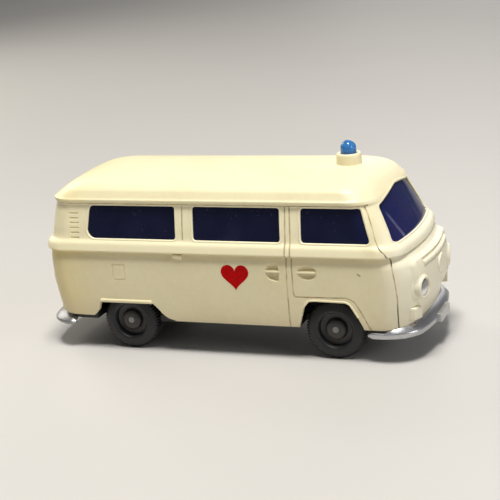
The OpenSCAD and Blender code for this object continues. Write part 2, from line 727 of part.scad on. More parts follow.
module front_axle() {
    axle(front_axle_x);
}
module rear_axle() {
    axle(rear_axle_x);
}
module tyre_front_left() {
    tyre(front_axle_x, 1);
}
module tyre_front_right() {
    tyre(front_axle_x, -1);
}
module tyre_rear_left() {
    tyre(rear_axle_x, 1);
}
module tyre_rear_right() {
    tyre(rear_axle_x, -1);
}
module hub_front_left() {
    hub(front_axle_x, 1);
}
module hub_front_right() {
    hub(front_axle_x, -1);
}
module hub_rear_left() {
    hub(rear_axle_x, 1);
}
module hub_rear_right() {
    hub(rear_axle_x, -1);
}

body_shell();
glazing();
beacon_dome();
base_plate();
front_bumper();
rear_bumper();
seat_insert();
front_axle();
rear_axle();
tyre_front_left();
tyre_front_right();
tyre_rear_left();
tyre_rear_right();
hub_front_left();
hub_front_right();
hub_rear_left();
hub_rear_right();
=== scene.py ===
"""Looks of the toy ambulance van: surfaces, materials, studio and camera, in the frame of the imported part."""
import math

import bmesh
import bpy
import numpy as np
from mathutils import Matrix, Vector


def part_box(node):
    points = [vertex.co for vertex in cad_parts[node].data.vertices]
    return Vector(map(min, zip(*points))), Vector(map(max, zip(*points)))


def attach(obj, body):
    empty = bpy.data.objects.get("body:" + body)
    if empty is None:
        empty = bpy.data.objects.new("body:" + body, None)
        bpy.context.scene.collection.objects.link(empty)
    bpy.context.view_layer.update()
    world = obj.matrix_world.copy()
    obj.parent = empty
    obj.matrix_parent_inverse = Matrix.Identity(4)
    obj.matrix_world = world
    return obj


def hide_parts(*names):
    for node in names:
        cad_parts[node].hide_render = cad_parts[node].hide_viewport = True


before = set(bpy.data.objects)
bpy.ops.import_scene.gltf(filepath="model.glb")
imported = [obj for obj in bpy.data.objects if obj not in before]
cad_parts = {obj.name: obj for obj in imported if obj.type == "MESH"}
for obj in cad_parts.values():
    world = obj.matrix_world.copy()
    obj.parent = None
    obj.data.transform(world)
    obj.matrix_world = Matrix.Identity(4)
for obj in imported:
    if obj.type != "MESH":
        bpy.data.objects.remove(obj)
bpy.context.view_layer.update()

# Body shell
# One ivory polystyrene moulding: a lofted shell with a rolled belt swage, a gutter bead and a crowned roof.
# It comes out of a steel mould, so its edges are soft, its door lines are engraved and its windows are open.
MM = 0.001


def low(node):
    """Lowest corner of a CAD node in millimetres."""
    return np.array(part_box(node)[0]) / MM


def high(node):
    """Highest corner of a CAD node in millimetres."""
    return np.array(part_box(node)[1]) / MM


def smooth(t):
    """Smooth step 3t^2 - 2t^3 of t held between 0 and 1."""
    t = np.clip(t, 0, 1)
    return t * t * (3 - 2 * t)


def monotone(x, xs, ys):
    """Piecewise cubic through (xs, ys) whose slopes are weighted harmonic means, so it never overshoots."""
    h, d = np.diff(xs), np.diff(ys) / np.diff(xs)
    m = np.concatenate([d[:1], np.zeros(len(d) - 1), d[-1:]])
    for i in range(1, len(d)):
        if d[i - 1] * d[i] > 0:
            a, b = 2 * h[i] + h[i - 1], h[i] + 2 * h[i - 1]
            m[i] = (a + b) / (a / d[i - 1] + b / d[i])
    i = np.clip(np.searchsorted(xs, x) - 1, 0, len(d) - 1)
    t = (x - xs[i]) / h[i]
    return ((1 + 2 * t) * (1 - t) ** 2 * ys[i] + t * (1 - t) ** 2 * h[i] * m[i]
            + t * t * (3 - 2 * t) * ys[i + 1] + t * t * (t - 1) * h[i] * m[i + 1])


half_w = high("body_shell")[1]
front_x, back_x = high("front_bumper")[0], low("rear_bumper")[0]
axle_f = (low("front_axle") + high("front_axle")) / 2
axle_r = (low("rear_axle") + high("rear_axle")) / 2
sill_z = low("body_shell")[2]
tyre_d = high("tyre_front_left")[2]
panel_h, belt_h, pillar_h, gutter_h, crown_h = 9.1, 1.6, 4.55, 0.48, 2.65
belt_z = sill_z + panel_h
foot_z = belt_z + belt_h
gutter_z = foot_z + pillar_h
edge_z = gutter_z + gutter_h
roof_z = edge_z + crown_h
nose_set, tail_set, belt_proud, foot_in, band_lean = 0.8, 0.85, 0.30, 0.52, 0.72
nose_x, tail_x = front_x - nose_set, back_x + tail_set
panel_w, foot_w = half_w - belt_proud, half_w - foot_in
gutter_w, gutter_proud = foot_w - band_lean, 0.2
belt_nose_set, screen_set, screen_lean = 0.98, 2.05, 2.35
belt_nose_x, screen_x = nose_x - belt_nose_set, nose_x - screen_set
brow_x = screen_x - screen_lean
edge_x = brow_x - (screen_x - brow_x) * gutter_h / pillar_h
tail_foot_set, tail_edge_set = 0.68, 1.53
tail_foot_x, tail_edge_x = tail_x + tail_foot_set, tail_x + tail_edge_set
nose_tuck, tail_tuck, sill_tuck = 0.95, 1.0, 0.42
nose_bow, screen_bow, tail_bow = 1.55, 1.15, 1.0
corner, corner_weight, corner_share = 2.8, 1.45, 0.84
roof_front_l, roof_rear_l, crown_power, brow_power = 7.0, 7.4, 2.3, 3.8
slope_h, slope_foot_share, crown_turn, probe_n = 1.0, 0.8, 89, 60

# section rows as height, half width, nose, nose bow, tail: panel, swage, window band, gutter
panel_shares = [
    (0, 1, 0.85, 1), (0.03, 0.62, 0.72, 0.93), (0.2, 0.3, 0.33, 0.7), (0.42, 0.08, 0.05, 0.42),
    (0.65, 0, 0, 0.25), (0.84, 0.1, 0.22, 0.2), (0.9, 0.3, 0.42, 0.21), (0.945, 0.6, 0.78, 0.215),
    (0.985, 0.8, 1.1, 0.22)]
belt_shares = [
    (0, 0.6, 0.6), (0.05, 0.94, 0.94), (0.1, 1, 1), (0.3, 0.89, 0.97), (0.5, 0.76, 0.88), (0.64, 0.64, 0.7),
    (0.75, 0.47, 0.47), (0.85, 0.23, 0.24), (0.93, 0.05, 0.08), (1, -0.06, 0)]
band_shares = [0.33, 0.66, 0.985]
gutter_shares = [(0, 0.8), (0.25, 1.3), (0.7, 1.5), (1, 1.45)]
gutter_tail_share = 0.2
rows = [(sill_z + s * panel_h, panel_w - a * sill_tuck, nose_x - b * nose_tuck, nose_bow,
         tail_x + c * tail_tuck) for s, a, b, c in panel_shares]
rows += [(belt_z + s * belt_h, foot_w + a * (half_w - foot_w), screen_x + b * (belt_nose_x - screen_x),
          screen_bow + b * (nose_bow - screen_bow), tail_foot_x + b * (tail_x - tail_foot_x))
         for s, a, b in belt_shares]
rows += [(foot_z + s * pillar_h, foot_w + s * (gutter_w - foot_w), screen_x + s * (brow_x - screen_x),
          screen_bow, tail_foot_x + s * (tail_edge_x - tail_foot_x)) for s in band_shares]
rows += [(gutter_z + s * gutter_h, gutter_w + a * gutter_proud, brow_x + s * (edge_x - brow_x), screen_bow,
          tail_edge_x - gutter_tail_share * a * gutter_proud) for s, a in gutter_shares]
rows = np.array(rows)


def panel_rise(y, z):
    """Raised front panel: a smooth step of the distance inside a rounded rectangle."""
    wide, mid_z, tall, round_r = 7.7, sill_z + 0.6225 * panel_h, 0.3075 * panel_h, 0.95
    proud, edge = 0.48, 0.22
    a, b = np.abs(y) - wide + round_r, np.abs(z - mid_z) - tall + round_r
    away = np.hypot(np.maximum(a, 0), np.maximum(b, 0)) + np.minimum(np.maximum(a, b), 0) - round_r
    return proud * smooth(-away / edge)


def section(v, inset=0.0):
    """Height, half width, nose, nose bow, tail and tail bow at v.

    From 0 to 1 it runs from sill to gutter, from 1 to 2 over a super-ellipse crown with a straight foot."""
    v = np.atleast_1d(np.asarray(v, float))
    z = sill_z + np.clip(v, 0, 1) * (edge_z - sill_z)
    w, nose, bow, tail = [monotone(z, rows[:, 0], rows[:, k]) for k in (1, 2, 3, 4)]
    w, nose, tail = w - inset, nose - inset, tail + inset
    turn = np.radians(np.clip(v - 1, 0, 1) * crown_turn)
    rise, side = np.sin(turn) ** (2 / crown_power), np.cos(turn) ** (2 / crown_power)
    foot = (1 - (slope_h / crown_h) ** crown_power) ** (1 / crown_power) * (gutter_w - inset)
    line = gutter_w + slope_foot_share * gutter_proud - inset
    line = line + (foot - line) * np.minimum(rise * crown_h / slope_h, 1)
    w = np.where(turn > 0, np.where(rise * crown_h < slope_h, line, (gutter_w - inset) * side), w)
    front, rear = [1 - (1 - rise) ** (1 / p) for p in (brow_power, crown_power)]
    return (z + rise * (crown_h - inset), w, nose - roof_front_l * front, bow * side,
            tail + roof_rear_l * rear, tail_bow * side)


def half_end(x, bow, w, n):
    """Bowed end x - bow (y/w)^2 out to the corner, then a conic corner arc: two arrays, end centre first."""
    c = np.minimum(corner, corner_share * w)
    y0 = w - c
    x0 = x - bow * (y0 / w) ** 2
    x1 = x0 - 2 * bow * y0 / w ** 2 * c
    s = np.linspace(0, 1, n, endpoint=False)
    ys, t = y0 * s, np.linspace(0, 1, n)
    p, k, q = (1 - t) ** 2, corner_weight * t * (1 - t), t * t
    blend = p + k + q
    return (np.concatenate([x - bow * (ys / w) ** 2, (x0 * p + x1 * k + (x1 - c) * q) / blend]),
            np.concatenate([ys, (y0 * p + w * k + w * q) / blend]))


def half_loop(sec, n, n_side):
    """Half of a section seen from above, from nose to tail on the +Y side."""
    w, nose, bow, tail, tail_b = sec[1:]
    fx, fy = half_end(nose, bow, w, n)
    rx, ry = half_end(-tail, tail_b, w, n)
    s = np.linspace(0, 1, n_side + 2)[1:-1]
    return (np.concatenate([fx, fx[-1] + s * (-rx[-1] - fx[-1]), -rx[::-1]]),
            np.concatenate([fy, np.full(n_side, w), ry[::-1]]))


def skin(vs, n, n_side, inset=0.0, relief=True):
    """Rings of the loft at the levels vs, as an array of ring, point, coordinate."""
    nose_zone, rings = axle_f[0] + 4, []
    for sec in np.transpose(section(vs, inset)):
        x, y = half_loop(sec, n, n_side)
        if relief:
            x = x + np.where(x > nose_zone, panel_rise(y, sec[0]), 0)
        full = np.concatenate([np.stack([x, y], 1), np.stack([x[-2:0:-1], -y[-2:0:-1]], 1)])
        rings.append(np.column_stack([full, np.full(len(full), sec[0])]))
    return np.array(rings)


def level(z):
    """The loft parameter at height z: a straight share up to the gutter's top, the crown's angle above it."""
    rise = np.clip((z - edge_z) / crown_h, 0, 1) ** (crown_power / 2)
    return np.minimum((z - sill_z) / (edge_z - sill_z), 1) + np.degrees(np.arcsin(rise)) / crown_turn


def flank_y(x, z):
    """Distance from the middle plane to the side skin at x and z."""
    px, py = half_loop([float(a[0]) for a in section(level(z))], probe_n, probe_n)
    return np.interp(x, px[::-1], py[::-1])


def end_x(y, z, end):
    """Place along X of the nose (end 1) or tail (end -1) skin at y and z."""
    sec = [float(a[0]) for a in section(level(z))]
    if end > 0:
        px, py = half_end(sec[2], sec[3], sec[1], probe_n)
        return np.interp(abs(y), py, px) + float(panel_rise(np.float64(y), np.float64(z)))
    px, py = half_end(-sec[4], sec[5], sec[1], probe_n)
    return -np.interp(abs(y), py, px)


def new_object(name, data):
    """An object of the scene that holds the data."""
    obj = bpy.data.objects.new(name, data)
    bpy.context.scene.collection.objects.link(obj)
    return obj


def mesh_object(name, points, faces, material=None):
    """A mesh object at the origin from points in millimetres."""
    mesh = bpy.data.meshes.new(name)
    mesh.from_pydata((np.asarray(points) * MM).tolist(), [], [list(map(int, f)) for f in faces])
    mesh.validate()
    if material:
        mesh.materials.append(material)
    return new_object(name, mesh)


def solid(name, points, faces, material=None):
    """A mesh object with its faces turned outwards."""
    obj = mesh_object(name, points, faces, material)
    bm = bmesh.new()
    bm.from_mesh(obj.data)
    bmesh.ops.recalc_face_normals(bm, faces=bm.faces)
    bm.to_mesh(obj.data)
    bm.free()
    return obj


def grid_faces(n, m, wrap_n=False, wrap_m=False):
    """Quads of an n by m grid of points, closed round either way where asked."""
    i, j = np.meshgrid(np.arange(n if wrap_n else n - 1), np.arange(m if wrap_m else m - 1), indexing="ij")
    i, j = i.ravel(), j.ravel()
    a, b = (i + 1) % n, (j + 1) % m
    return np.stack([i * m + j, i * m + b, a * m + b, a * m + j], 1).tolist()


def sleeve(k, n, foot=True):
    """Faces of k rings of n points: quads between them, the last ring closed and, where asked, the first."""
    caps = [list(range(n))[::-1], list(range((k - 1) * n, k * n))]
    return grid_faces(k, n, wrap_m=True) + (caps if foot else caps[1:])


def loft(rings):
    """A closed solid from rings: quads between them, a flat floor and a strip across the ridge."""
    k, m = rings.shape[:2]
    faces = grid_faces(k, m, wrap_m=True)
    faces.append(list(range(m))[::-1])
    top = (k - 1) * m
    faces += [[top + i, top + i + 1, top + m - i - 1, top + (m - i) % m] for i in range(1, m // 2 - 1)]
    faces += [[top, top + 1, top + m - 1], [top + m // 2 - 1, top + m // 2, top + m // 2 + 1]]
    return rings.reshape(-1, 3), faces


def rounded(corners, radii):
    """A polygon with an arc of the given radius at each corner, as an array of points."""
    arc_points, nearly_straight = 7, 1.56
    pts, out = np.asarray(corners, float), []
    for i, (p, r) in enumerate(zip(pts, radii)):
        a, b = pts[i - 1] - p, pts[(i + 1) % len(pts)] - p
        a, b = a / np.hypot(*a), b / np.hypot(*b)
        half = math.acos(float(np.clip(a @ b, -1, 1))) / 2
        if r <= 0 or half > nearly_straight:
            out.append(p)
            continue
        t0, t1 = p + a * r / math.tan(half), p + b * r / math.tan(half)
        centre = p + (a + b) / np.hypot(*(a + b)) * r / math.sin(half)
        f0, f1 = t0 - centre, t1 - centre
        for s in np.linspace(0, 1, arc_points):
            d = f0 * (1 - s) + f1 * s
            out.append(centre + d / np.hypot(*d) * r)
    return np.array(out)


def prism(outline, axis, start, stop):
    """Points and faces of an outline in the plane across an axis, run from start to stop along it."""
    ends = [np.insert(outline, axis, v, axis=1) for v in (start, stop)]
    return np.concatenate(ends), sleeve(2, len(outline))


def resample(pts, step=0.25, count=0, closed=False):
    """Points at even steps of length along a polyline, open or closed."""
    pts = np.asarray(pts, float)
    if closed:
        pts = np.concatenate([pts, pts[:1]])
    run = np.concatenate([[0], np.cumsum(np.hypot(*np.diff(pts, axis=0).T))])
    s = np.linspace(0, run[-1], count or max(4, int(run[-1] / step)), endpoint=not closed)
    return np.stack([np.interp(s, run, pts[:, k]) for k in (0, 1)], 1)


def circle(n):
    """Angles of n even steps round a full turn."""
    return np.linspace(0, 2 * np.pi, n, endpoint=False)


def tube(path, normal, r, n=8, closed=False):
    """A round tube of radius r along a path, set out from its normal, with flat ends unless it is closed."""
    up = np.broadcast_to(np.asarray(normal, float), path.shape)
    along = np.roll(path, -1, 0) - np.roll(path, 1, 0) if closed else np.gradient(path, axis=0)
    along /= np.linalg.norm(along, axis=1)[:, None]
    side = np.cross(along, up)
    side /= np.linalg.norm(side, axis=1)[:, None]
    up = up if closed else np.cross(side, along)
    turn = circle(n)[:, None]
    pts = path[:, None] + r * (np.cos(turn) * up[:, None] + np.sin(turn) * side[:, None])
    faces = grid_faces(len(path), n, wrap_n=True, wrap_m=True) if closed else sleeve(len(path), n)
    return pts.reshape(-1, 3), faces


def gather(pieces):
    """Several point and face sets as one."""
    points, faces, base = [], [], 0
    for p, f in pieces:
        points.append(p)
        faces += [[i + base for i in g] for g in f]
        base += len(p)
    return np.concatenate(points), faces


def cut(obj, pieces, material=None):
    """Subtracts point and face sets from an object; the cut faces take the material, if one is given."""
    tool = solid("tool", *gather(pieces), material)
    step = obj.modifiers.new("cut", "BOOLEAN")
    step.operation, step.object, step.solver, step.material_mode = "DIFFERENCE", tool, "MANIFOLD", "TRANSFER"
    bpy.context.view_layer.update()
    done = bpy.data.meshes.new_from_object(obj.evaluated_get(bpy.context.evaluated_depsgraph_get()))
    obj.modifiers.clear()
    old, obj.data = obj.data, done
    bpy.data.meshes.remove(old)
    bpy.data.objects.remove(tool)


def station(s):
    """A place along the flank: -1 rear bumper, 0 rear axle, 1 front axle, 2 number panel."""
    if s < 0:
        return axle_r[0] + s * (axle_r[0] - back_x)
    return axle_f[0] + (s - 1) * (front_x - axle_f[0]) if s > 1 else axle_r[0] + s * (axle_f[0] - axle_r[0])


class Field:
    """A shader value: arithmetic on it adds the nodes that work it out."""

    def __init__(self, tree, socket):
        self.tree, self.socket = tree, socket

    def node(self, kind, *values, out=0, **options):
        """Adds a node, sets its options, feeds its first inputs and returns one output."""
        n = self.tree.nodes.new("ShaderNode" + kind)
        for k, v in options.items():
            setattr(n, k, v)
        for socket, v in zip([s for s in n.inputs if s.enabled], values):
            if isinstance(v, Field):
                self.tree.links.new(v.socket, socket)
            elif v is not None:
                socket.default_value = v
        return Field(self.tree, [s for s in n.outputs if s.enabled][out])

    def math(self, op, *values):
        return self.node("Math", self, *values, operation=op)

    def __add__(self, other):
        return self.math("ADD", other)

    def __sub__(self, other):
        return self.math("SUBTRACT", other)

    def __mul__(self, other):
        return self.math("MULTIPLY", other)

    def __rsub__(self, other):
        return (self * -1.0) + other

    __radd__, __rmul__ = __add__, __mul__

    def clamp(self, a, b):
        """0 at a, 1 at b, smooth between."""
        return self.node("MapRange", self, float(a), float(b), 0.0, 1.0, interpolation_type="SMOOTHSTEP")

    def mix(self, a, b):
        """Colour a where this is 0 and b where it is 1."""
        a, b = [c if isinstance(c, Field) else (*c, 1.0) for c in (a, b)]
        return self.node("Mix", self, a, b, data_type="RGBA")

    def scaled(self, v):
        return self.node("VectorMath", self, tuple(v), operation="MULTIPLY")

    def part(self, k):
        return self.node("SeparateXYZ", self, out=k)

    def noise(self, scale, detail=4.0, rough=0.55):
        return self.node("TexNoise", self, float(scale), float(detail), float(rough))

    def cells(self, scale):
        return self.node("TexVoronoi", self, float(scale), feature="F1")


class Finish:
    """A material on a Principled shader; place is the object's coordinates in millimetres."""

    def __init__(self, name, **constants):
        self.material = bpy.data.materials.new(name)
        self.material.use_nodes = True
        tree = self.material.node_tree
        self.tree, self.shader = tree, tree.nodes["Principled BSDF"]
        for k, v in constants.items():
            self.shader.inputs[k.replace("_", " ")].default_value = v
        coord = tree.nodes.new("ShaderNodeTexCoord")
        self.place = Field(tree, coord.outputs["Object"]).scaled((1 / MM,) * 3)

    def feed(self, **fields):
        """Links fields to the shader's inputs of those names."""
        for k, v in fields.items():
            self.tree.links.new(v.socket, self.shader.inputs[k.replace("_", " ")])

    def bump(self, height, strength, distance):
        """Feeds a bump of that height field, with distance in millimetres."""
        n = self.tree.nodes.new("ShaderNodeBump")
        n.inputs["Strength"].default_value = strength
        n.inputs["Distance"].default_value = distance * MM
        self.tree.links.new(height.socket, n.inputs["Height"])
        self.feed(Normal=Field(self.tree, n.outputs[0]))


# ivory: slightly translucent, dirtier low down; yellower at the tail for aged plastic and a painted glow of
# back light, paler on the nose for painted cool front light, brighter on the window band as a painted highlight
ivory = Finish("ivory_plastic", Subsurface_Weight=0.08, Subsurface_Scale=0.0006, Specular_IOR_Level=0.45)
ivory.shader.inputs["Subsurface Radius"].default_value = (1.0, 0.75, 0.4)
length, height = ivory.place.part(0), ivory.place.part(2)
cloud, fine = ivory.place.noise(0.16), ivory.place.noise(1.6)
scuffs = ivory.place.scaled((0.5, 0.5, 3.0)).noise(2.2, 6.0, 0.7).clamp(0.62, 0.74)
specks = ivory.place.cells(0.3).clamp(0.032, 0.018)
# painted light: yellower towards the tail, for aged plastic and for the back light glowing through it
tail_yellow_and_glow = length.clamp(-15.0, -25.5)
# painted light: a paler, less yellow nose, for the cool lamp light falling on the front
nose_cool_light = length.clamp(19.5, 23.5) * height.clamp(20.0, 17.0)
lower = (height + cloud * 3.0).clamp(9.0, 4.5)
# painted highlight: the window band and belt top are brighter, except near the windscreen, to even out how the
# overhead lamp falls
band_highlight = height.clamp(belt_z, belt_z + 0.4) * height.clamp(gutter_z + 0.3, gutter_z)
band_highlight = band_highlight * length.clamp(20.0, 18.0)
drag = ivory.place.scaled((0.05, 1.4, 1.4)).noise(1.3).clamp(0.54, 0.70) * height.clamp(19.0, 21.0)
nick_x, nick_z, nick_slope = 18.07, 11.33, 0.64
along, across = length - nick_x, (length - nick_x) * nick_slope + (height - nick_z)
nick = along.math("ABSOLUTE").clamp(0.26, 0.14) * across.math("ABSOLUTE").clamp(0.14, 0.06)
nick = nick * ivory.place.part(1).clamp(-9.0, -9.4)
tone = (cloud * 0.5 + fine * 0.5).clamp(0.3, 0.7).mix((0.80, 0.715, 0.455), (0.84, 0.76, 0.51))
layers = [
    (tail_yellow_and_glow * 0.8, (0.82, 0.67, 0.30)), (nose_cool_light * 0.75, (0.80, 0.755, 0.61)),
    (drag * 0.2, (0.68, 0.60, 0.38)), (lower * 0.55, (0.62, 0.52, 0.34)), (band_highlight * 0.8, (0.92, 0.85, 0.585)),
    (scuffs * 0.10, (0.92, 0.88, 0.76)), (specks * 0.55, (0.30, 0.24, 0.16)),
    (nick * 0.7, (0.10, 0.08, 0.04))]
for mask, over_tone in layers:
    tone = mask.mix(tone, over_tone)
ivory.feed(Base_Color=tone, Roughness=cloud * 0.14 + scuffs * 0.10 + fine * 0.06 + 0.30)
ivory.bump(fine * 0.6 + ivory.place.noise(6.0) * 0.4, 0.35, 0.02)
# brown in the engraved lines: settled dust and painted shade in the grooves, and a painted shadow line under
# the gutter
line_dust_and_shade = Finish("dust_and_shade_in_lines", Roughness=0.6)
settled_dust_and_shade = line_dust_and_shade.place.noise(0.7).clamp(0.35, 0.65).mix((0.50, 0.40, 0.21), (0.74, 0.64, 0.40))
# darker in patches along the front door line below the belt
front_line_dark = line_dust_and_shade.place.part(0).clamp(18.0, 20.5) * line_dust_and_shade.place.part(2).clamp(15.5, 13.8)
front_line_dark = front_line_dark * line_dust_and_shade.place.noise(0.3).clamp(0.48, 0.60)
line_dust_and_shade.feed(Base_Color=(front_line_dark * 0.8).mix(settled_dust_and_shade, (0.10, 0.075, 0.04)))

# levels crowd where the swage, the sill and the gutter bend
under_belt = level(belt_z) - 0.04
levels = np.concatenate([
    np.linspace(0, 0.02, 5), np.linspace(0.02, under_belt, 58)[1:],
    np.linspace(under_belt, level(foot_z), 34)[1:], np.linspace(level(foot_z), level(gutter_z), 20)[1:],
    np.linspace(level(gutter_z), 1, 12)[1:], 1 + np.linspace(0, 1, 46)[1:]])
body = solid("ambulance_body", *loft(skin(levels, 24, 104)), ivory.material)
wall, over, lining_foot = 0.6, 1, 1.8
inner = np.concatenate([[0], np.linspace(level(sill_z + lining_foot), 1, 26), 1 + np.linspace(0, 1, 14)[1:]])
inner_rings = skin(inner, 8, 20, wall, relief=False)
inner_rings[0, :, :2] = inner_rings[1, :, :2]
inner_rings[0, :, 2] = sill_z - over
cut(body, [loft(inner_rings)])


def about_axle(axle, shares):
    """Places in tyre diameters along the van from an axle and above the sill."""
    return [(axle[0] + x * tyre_d, sill_z + z * tyre_d) for x, z in shares]


# windows, arches and the raised lower edge behind the rear wheel
window_low, window_high, window_r = foot_z - 0.015 * pillar_h, foot_z + 0.96 * pillar_h, 0.5
side_windows = [[((-0.318, 1), 1.5), ((-0.37, 0), 2.4), ((0.29, 0), 1), ((0.29, 1), 1)],
                [((0.366, 1), 1), ((0.366, 0), 1), ((0.789, 0), 1), ((0.789, 1), 1)],
                [((0.875, 1), 1.1), ((0.875, 0), 1.1), ((1.471, 0), 1), ((1.357, 1), 1.1)]]
side_outlines = [rounded([(station(s), (window_low, window_high)[k]) for (s, k), _ in w],
                         [r * window_r for _, r in w]) for w in side_windows]
screen_w, screen_low, screen_top_w = 0.845 * foot_w, foot_z - 0.045 * pillar_h, 0.78 * gutter_w
screen_drop, screen_arch, arch_power = 0.13, 1.02, 1.35
screen_top = [(screen_top_w * t, window_high - screen_drop + screen_arch * (1 - abs(t) ** arch_power))
              for t in np.linspace(1, -1, 15)]
screen_outline = rounded([(-screen_w, screen_low), (screen_w, screen_low)] + screen_top,
                         [0.4, 0.4, 0.6] + [0] * 13 + [0.6])
pane_low_w, pane_top_w, pane_r = 0.72 * foot_w, 0.64 * gutter_w, 0.75
pane_low, pane_top = window_low + 0.38, window_high - 0.34
rear_outline = rounded([(-pane_low_w, pane_low), (pane_low_w, pane_low), (pane_top_w, pane_top),
                        (-pane_top_w, pane_top)], [pane_r] * 4)
rear_arch = rounded(about_axle(axle_r, [
    (-0.52, -0.6), (-0.52, 0.156), (-0.461, 0.316), (0.505, 0.316), (0.603, 0.216), (0.683, 0.12),
    (0.766, 0.054), (0.893, 0.012), (0.98, -0.6)]), [0, 0.2, 0.12, 0.3, 1, 1, 1, 0.4, 0])
front_arch = rounded(about_axle(axle_f, [
    (-0.588, -0.6), (-0.563, 0.024), (-0.465, 0.347), (-0.374, 0.452), (-0.27, 0.463), (0.243, 0.453),
    (0.32, 0.414), (0.436, 0.204), (0.508, 0.048), (0.581, -0.6)]),
    [0, 0.2, 0.5, 0.5, 0.6, 0.5, 0.5, 0.5, 0.3, 0])
quarter = rounded(about_axle(axle_r, [
    (-2.2, -0.6), (-2.2, 0.11), (-1.45, 0.085), (-1.05, 0.058), (-0.617, 0.048), (-0.508, 0.168),
    (-0.363, -0.6)]), [0, 0, 3, 3, 0.5, 0, 0])
side_depth, end_depth = 4, 8
cut(body, [prism(o, 1, s * side_depth, s * (half_w + over)) for o in side_outlines for s in (-1, 1)]
    + [prism(screen_outline, 0, end_depth, front_x), prism(rear_outline, 0, back_x, back_x + end_depth)])
for opening in (rear_arch, front_arch, quarter):
    cut(body, [prism(opening, 1, -half_w - over, half_w + over)])


def flank_path(pts, side, step=0.25, sunk=0.0, closed=False):
    """A polyline of (x, z) on a flank, sampled evenly and sunk into the skin, with the way outward."""
    path = [(x, side * (flank_y(x, z) - sunk), z) for x, z in resample(pts, step, closed=closed)]
    return np.array(path), (0, side, 0)


def end_path(pts, end, step=0.25, sunk=0.0, closed=False):
    """A polyline of (y, z) on the nose or the tail, sampled and sunk in the same way."""
    path = [(end_x(y, z, end) - end * sunk, y, z) for y, z in resample(pts, step, closed=closed)]
    return np.array(path), (end, 0, 0)


def on_band(shares):
    """Stations and shares of the window band's height, as places."""
    return [(station(s), foot_z + h * pillar_h) for s, h in shares]


def on_panel(shares):
    """Stations and shares of the side panel's height, as places."""
    return [(station(s), sill_z + h * panel_h) for s, h in shares]


# engraved door lines, filler flap, tailgate and engine lid
door_front = (on_band([(1.388, 0.98), (1.424, 0.78), (1.469, 0.44), (1.502, 0.12), (1.53, -0.04)])
              + on_panel([(1.604, 1.06), (1.653, 0.95), (1.686, 0.7), (1.703, 0.44), (1.689, 0.005)]))
door_rear = (on_band([(0.832, 0.98)])
             + on_panel([(0.832, 0.5), (0.835, 0.457), (0.842, 0.443), (1.166, 0.451), (1.22, 0.43),
                         (1.251, 0.405), (1.303, 0.3), (1.412, 0.005)]))
slide_front = on_band([(0.811, 0.98)]) + on_panel([(0.803, 0.005)])
slide_rear = on_band([(0.323, 0.97), (0.32, 0.02)])
flap = on_panel([(-0.07, 0.595), (0.016, 0.6), (0.016, 0.815), (-0.094, 0.815), (-0.092, 0.595),
                 (-0.07, 0.595)])
groove_r, flap_r, flap_step = 0.088, 0.11, 0.12
lines = [flank_path(p, s) for p in (door_front, door_rear) for s in (-1, 1)]
lines += [flank_path(p, -1) for p in (slide_front, slide_rear)]
gate_w, gate_top = 0.8 * gutter_w, foot_z + 0.93 * pillar_h
lid = [sill_z + s * panel_h for s in (0.62, 0.56, 0.2)]
lines += [end_path([(-gate_w, gate_top), (-gate_w, lid[0]), (gate_w, lid[0]), (gate_w, gate_top)], -1)]
lines += [end_path([(-gate_w, lid[1]), (gate_w, lid[1]), (gate_w, lid[2]), (-gate_w, lid[2]),
                    (-gate_w, lid[1])], -1)]
cut(body, [tube(*line, groove_r) for line in lines], line_dust_and_shade.material)
cut(body, [tube(*flank_path(flap, -1, flap_step), flap_r)])

# bowls behind the handles, air louvres, grille slots, bore for the beacon
handle_z, slide_x, door_x = sill_z + 0.785 * panel_h, station(0.743), station(0.9)
slide_bowl = rounded([(slide_x - 0.95, handle_z + dz) for dz in (-0.9, 0.9)]
                     + [(slide_x + 0.75, handle_z + dz) for dz in (1.35, -1.35)], [0.85, 0.85, 0.35, 0.35])
turn = circle(40)
door_bowl = np.stack([door_x + 1.23 * np.cos(turn), handle_z + 0.92 * np.sin(turn)], 1)
slide_depth, door_depth = 0.58, 0.56


def bowl(outline, side, depth):
    """A dish under an outline on a flank, depth sqrt(1 - s^2) deep at the share s of the way to its rim."""
    mid = outline.mean(0)
    y0, lid_y = flank_y(*mid), 0.6
    rings = [(1, lid_y)] + [(s, -depth * math.sqrt(1 - s * s)) for s in (1, 0.96, 0.88, 0.74, 0.5, 0.2)]
    pts = np.concatenate([np.insert(mid + (outline - mid) * s, 1, side * (y0 + d), axis=1) for s, d in rings])
    return pts, sleeve(len(rings), len(outline))


cut(body, [bowl(slide_bowl, -1, slide_depth)] + [bowl(door_bowl, s, door_depth) for s in (-1, 1)])
louvre_x, louvre_r, louvre_step = [station(-0.539), station(-0.435)], 0.14, 0.12
louvre_z = foot_z + np.linspace(0.03, 0.71, 6) * pillar_h
cut(body, [tube(*flank_path([(x, z) for x in louvre_x], s, louvre_step), louvre_r)
           for s in (-1, 1) for z in louvre_z])
# a groove under the gutter bead, coloured as a painted shadow line
gutter_line, gutter_groove_r = [(station(s), gutter_z - 0.02) for s in (-0.78, 1.42)], 0.09
cut(body, [tube(*flank_path(gutter_line, s), gutter_groove_r) for s in (-1, 1)], line_dust_and_shade.material)
grille_w, grille_z = 0.56 * half_w, [sill_z + k * panel_h for k in (0.785, 0.825, 0.878)]
cut(body, [tube(*end_path([(-grille_w, z), (grille_w, z)], 1), r)
           for z, r in zip(grille_z[::2], (0.1, 0.24))])
collar_x, collar_r, collar_h, dome_r = station(1.04), 1.6, 1.3, 0.98
bore_r, bore_z = dome_r + 0.05, (roof_z - 2, roof_z + 3)
cut(body, [prism(np.stack([collar_x + bore_r * np.cos(turn), bore_r * np.sin(turn)], 1), 2, *bore_z)])


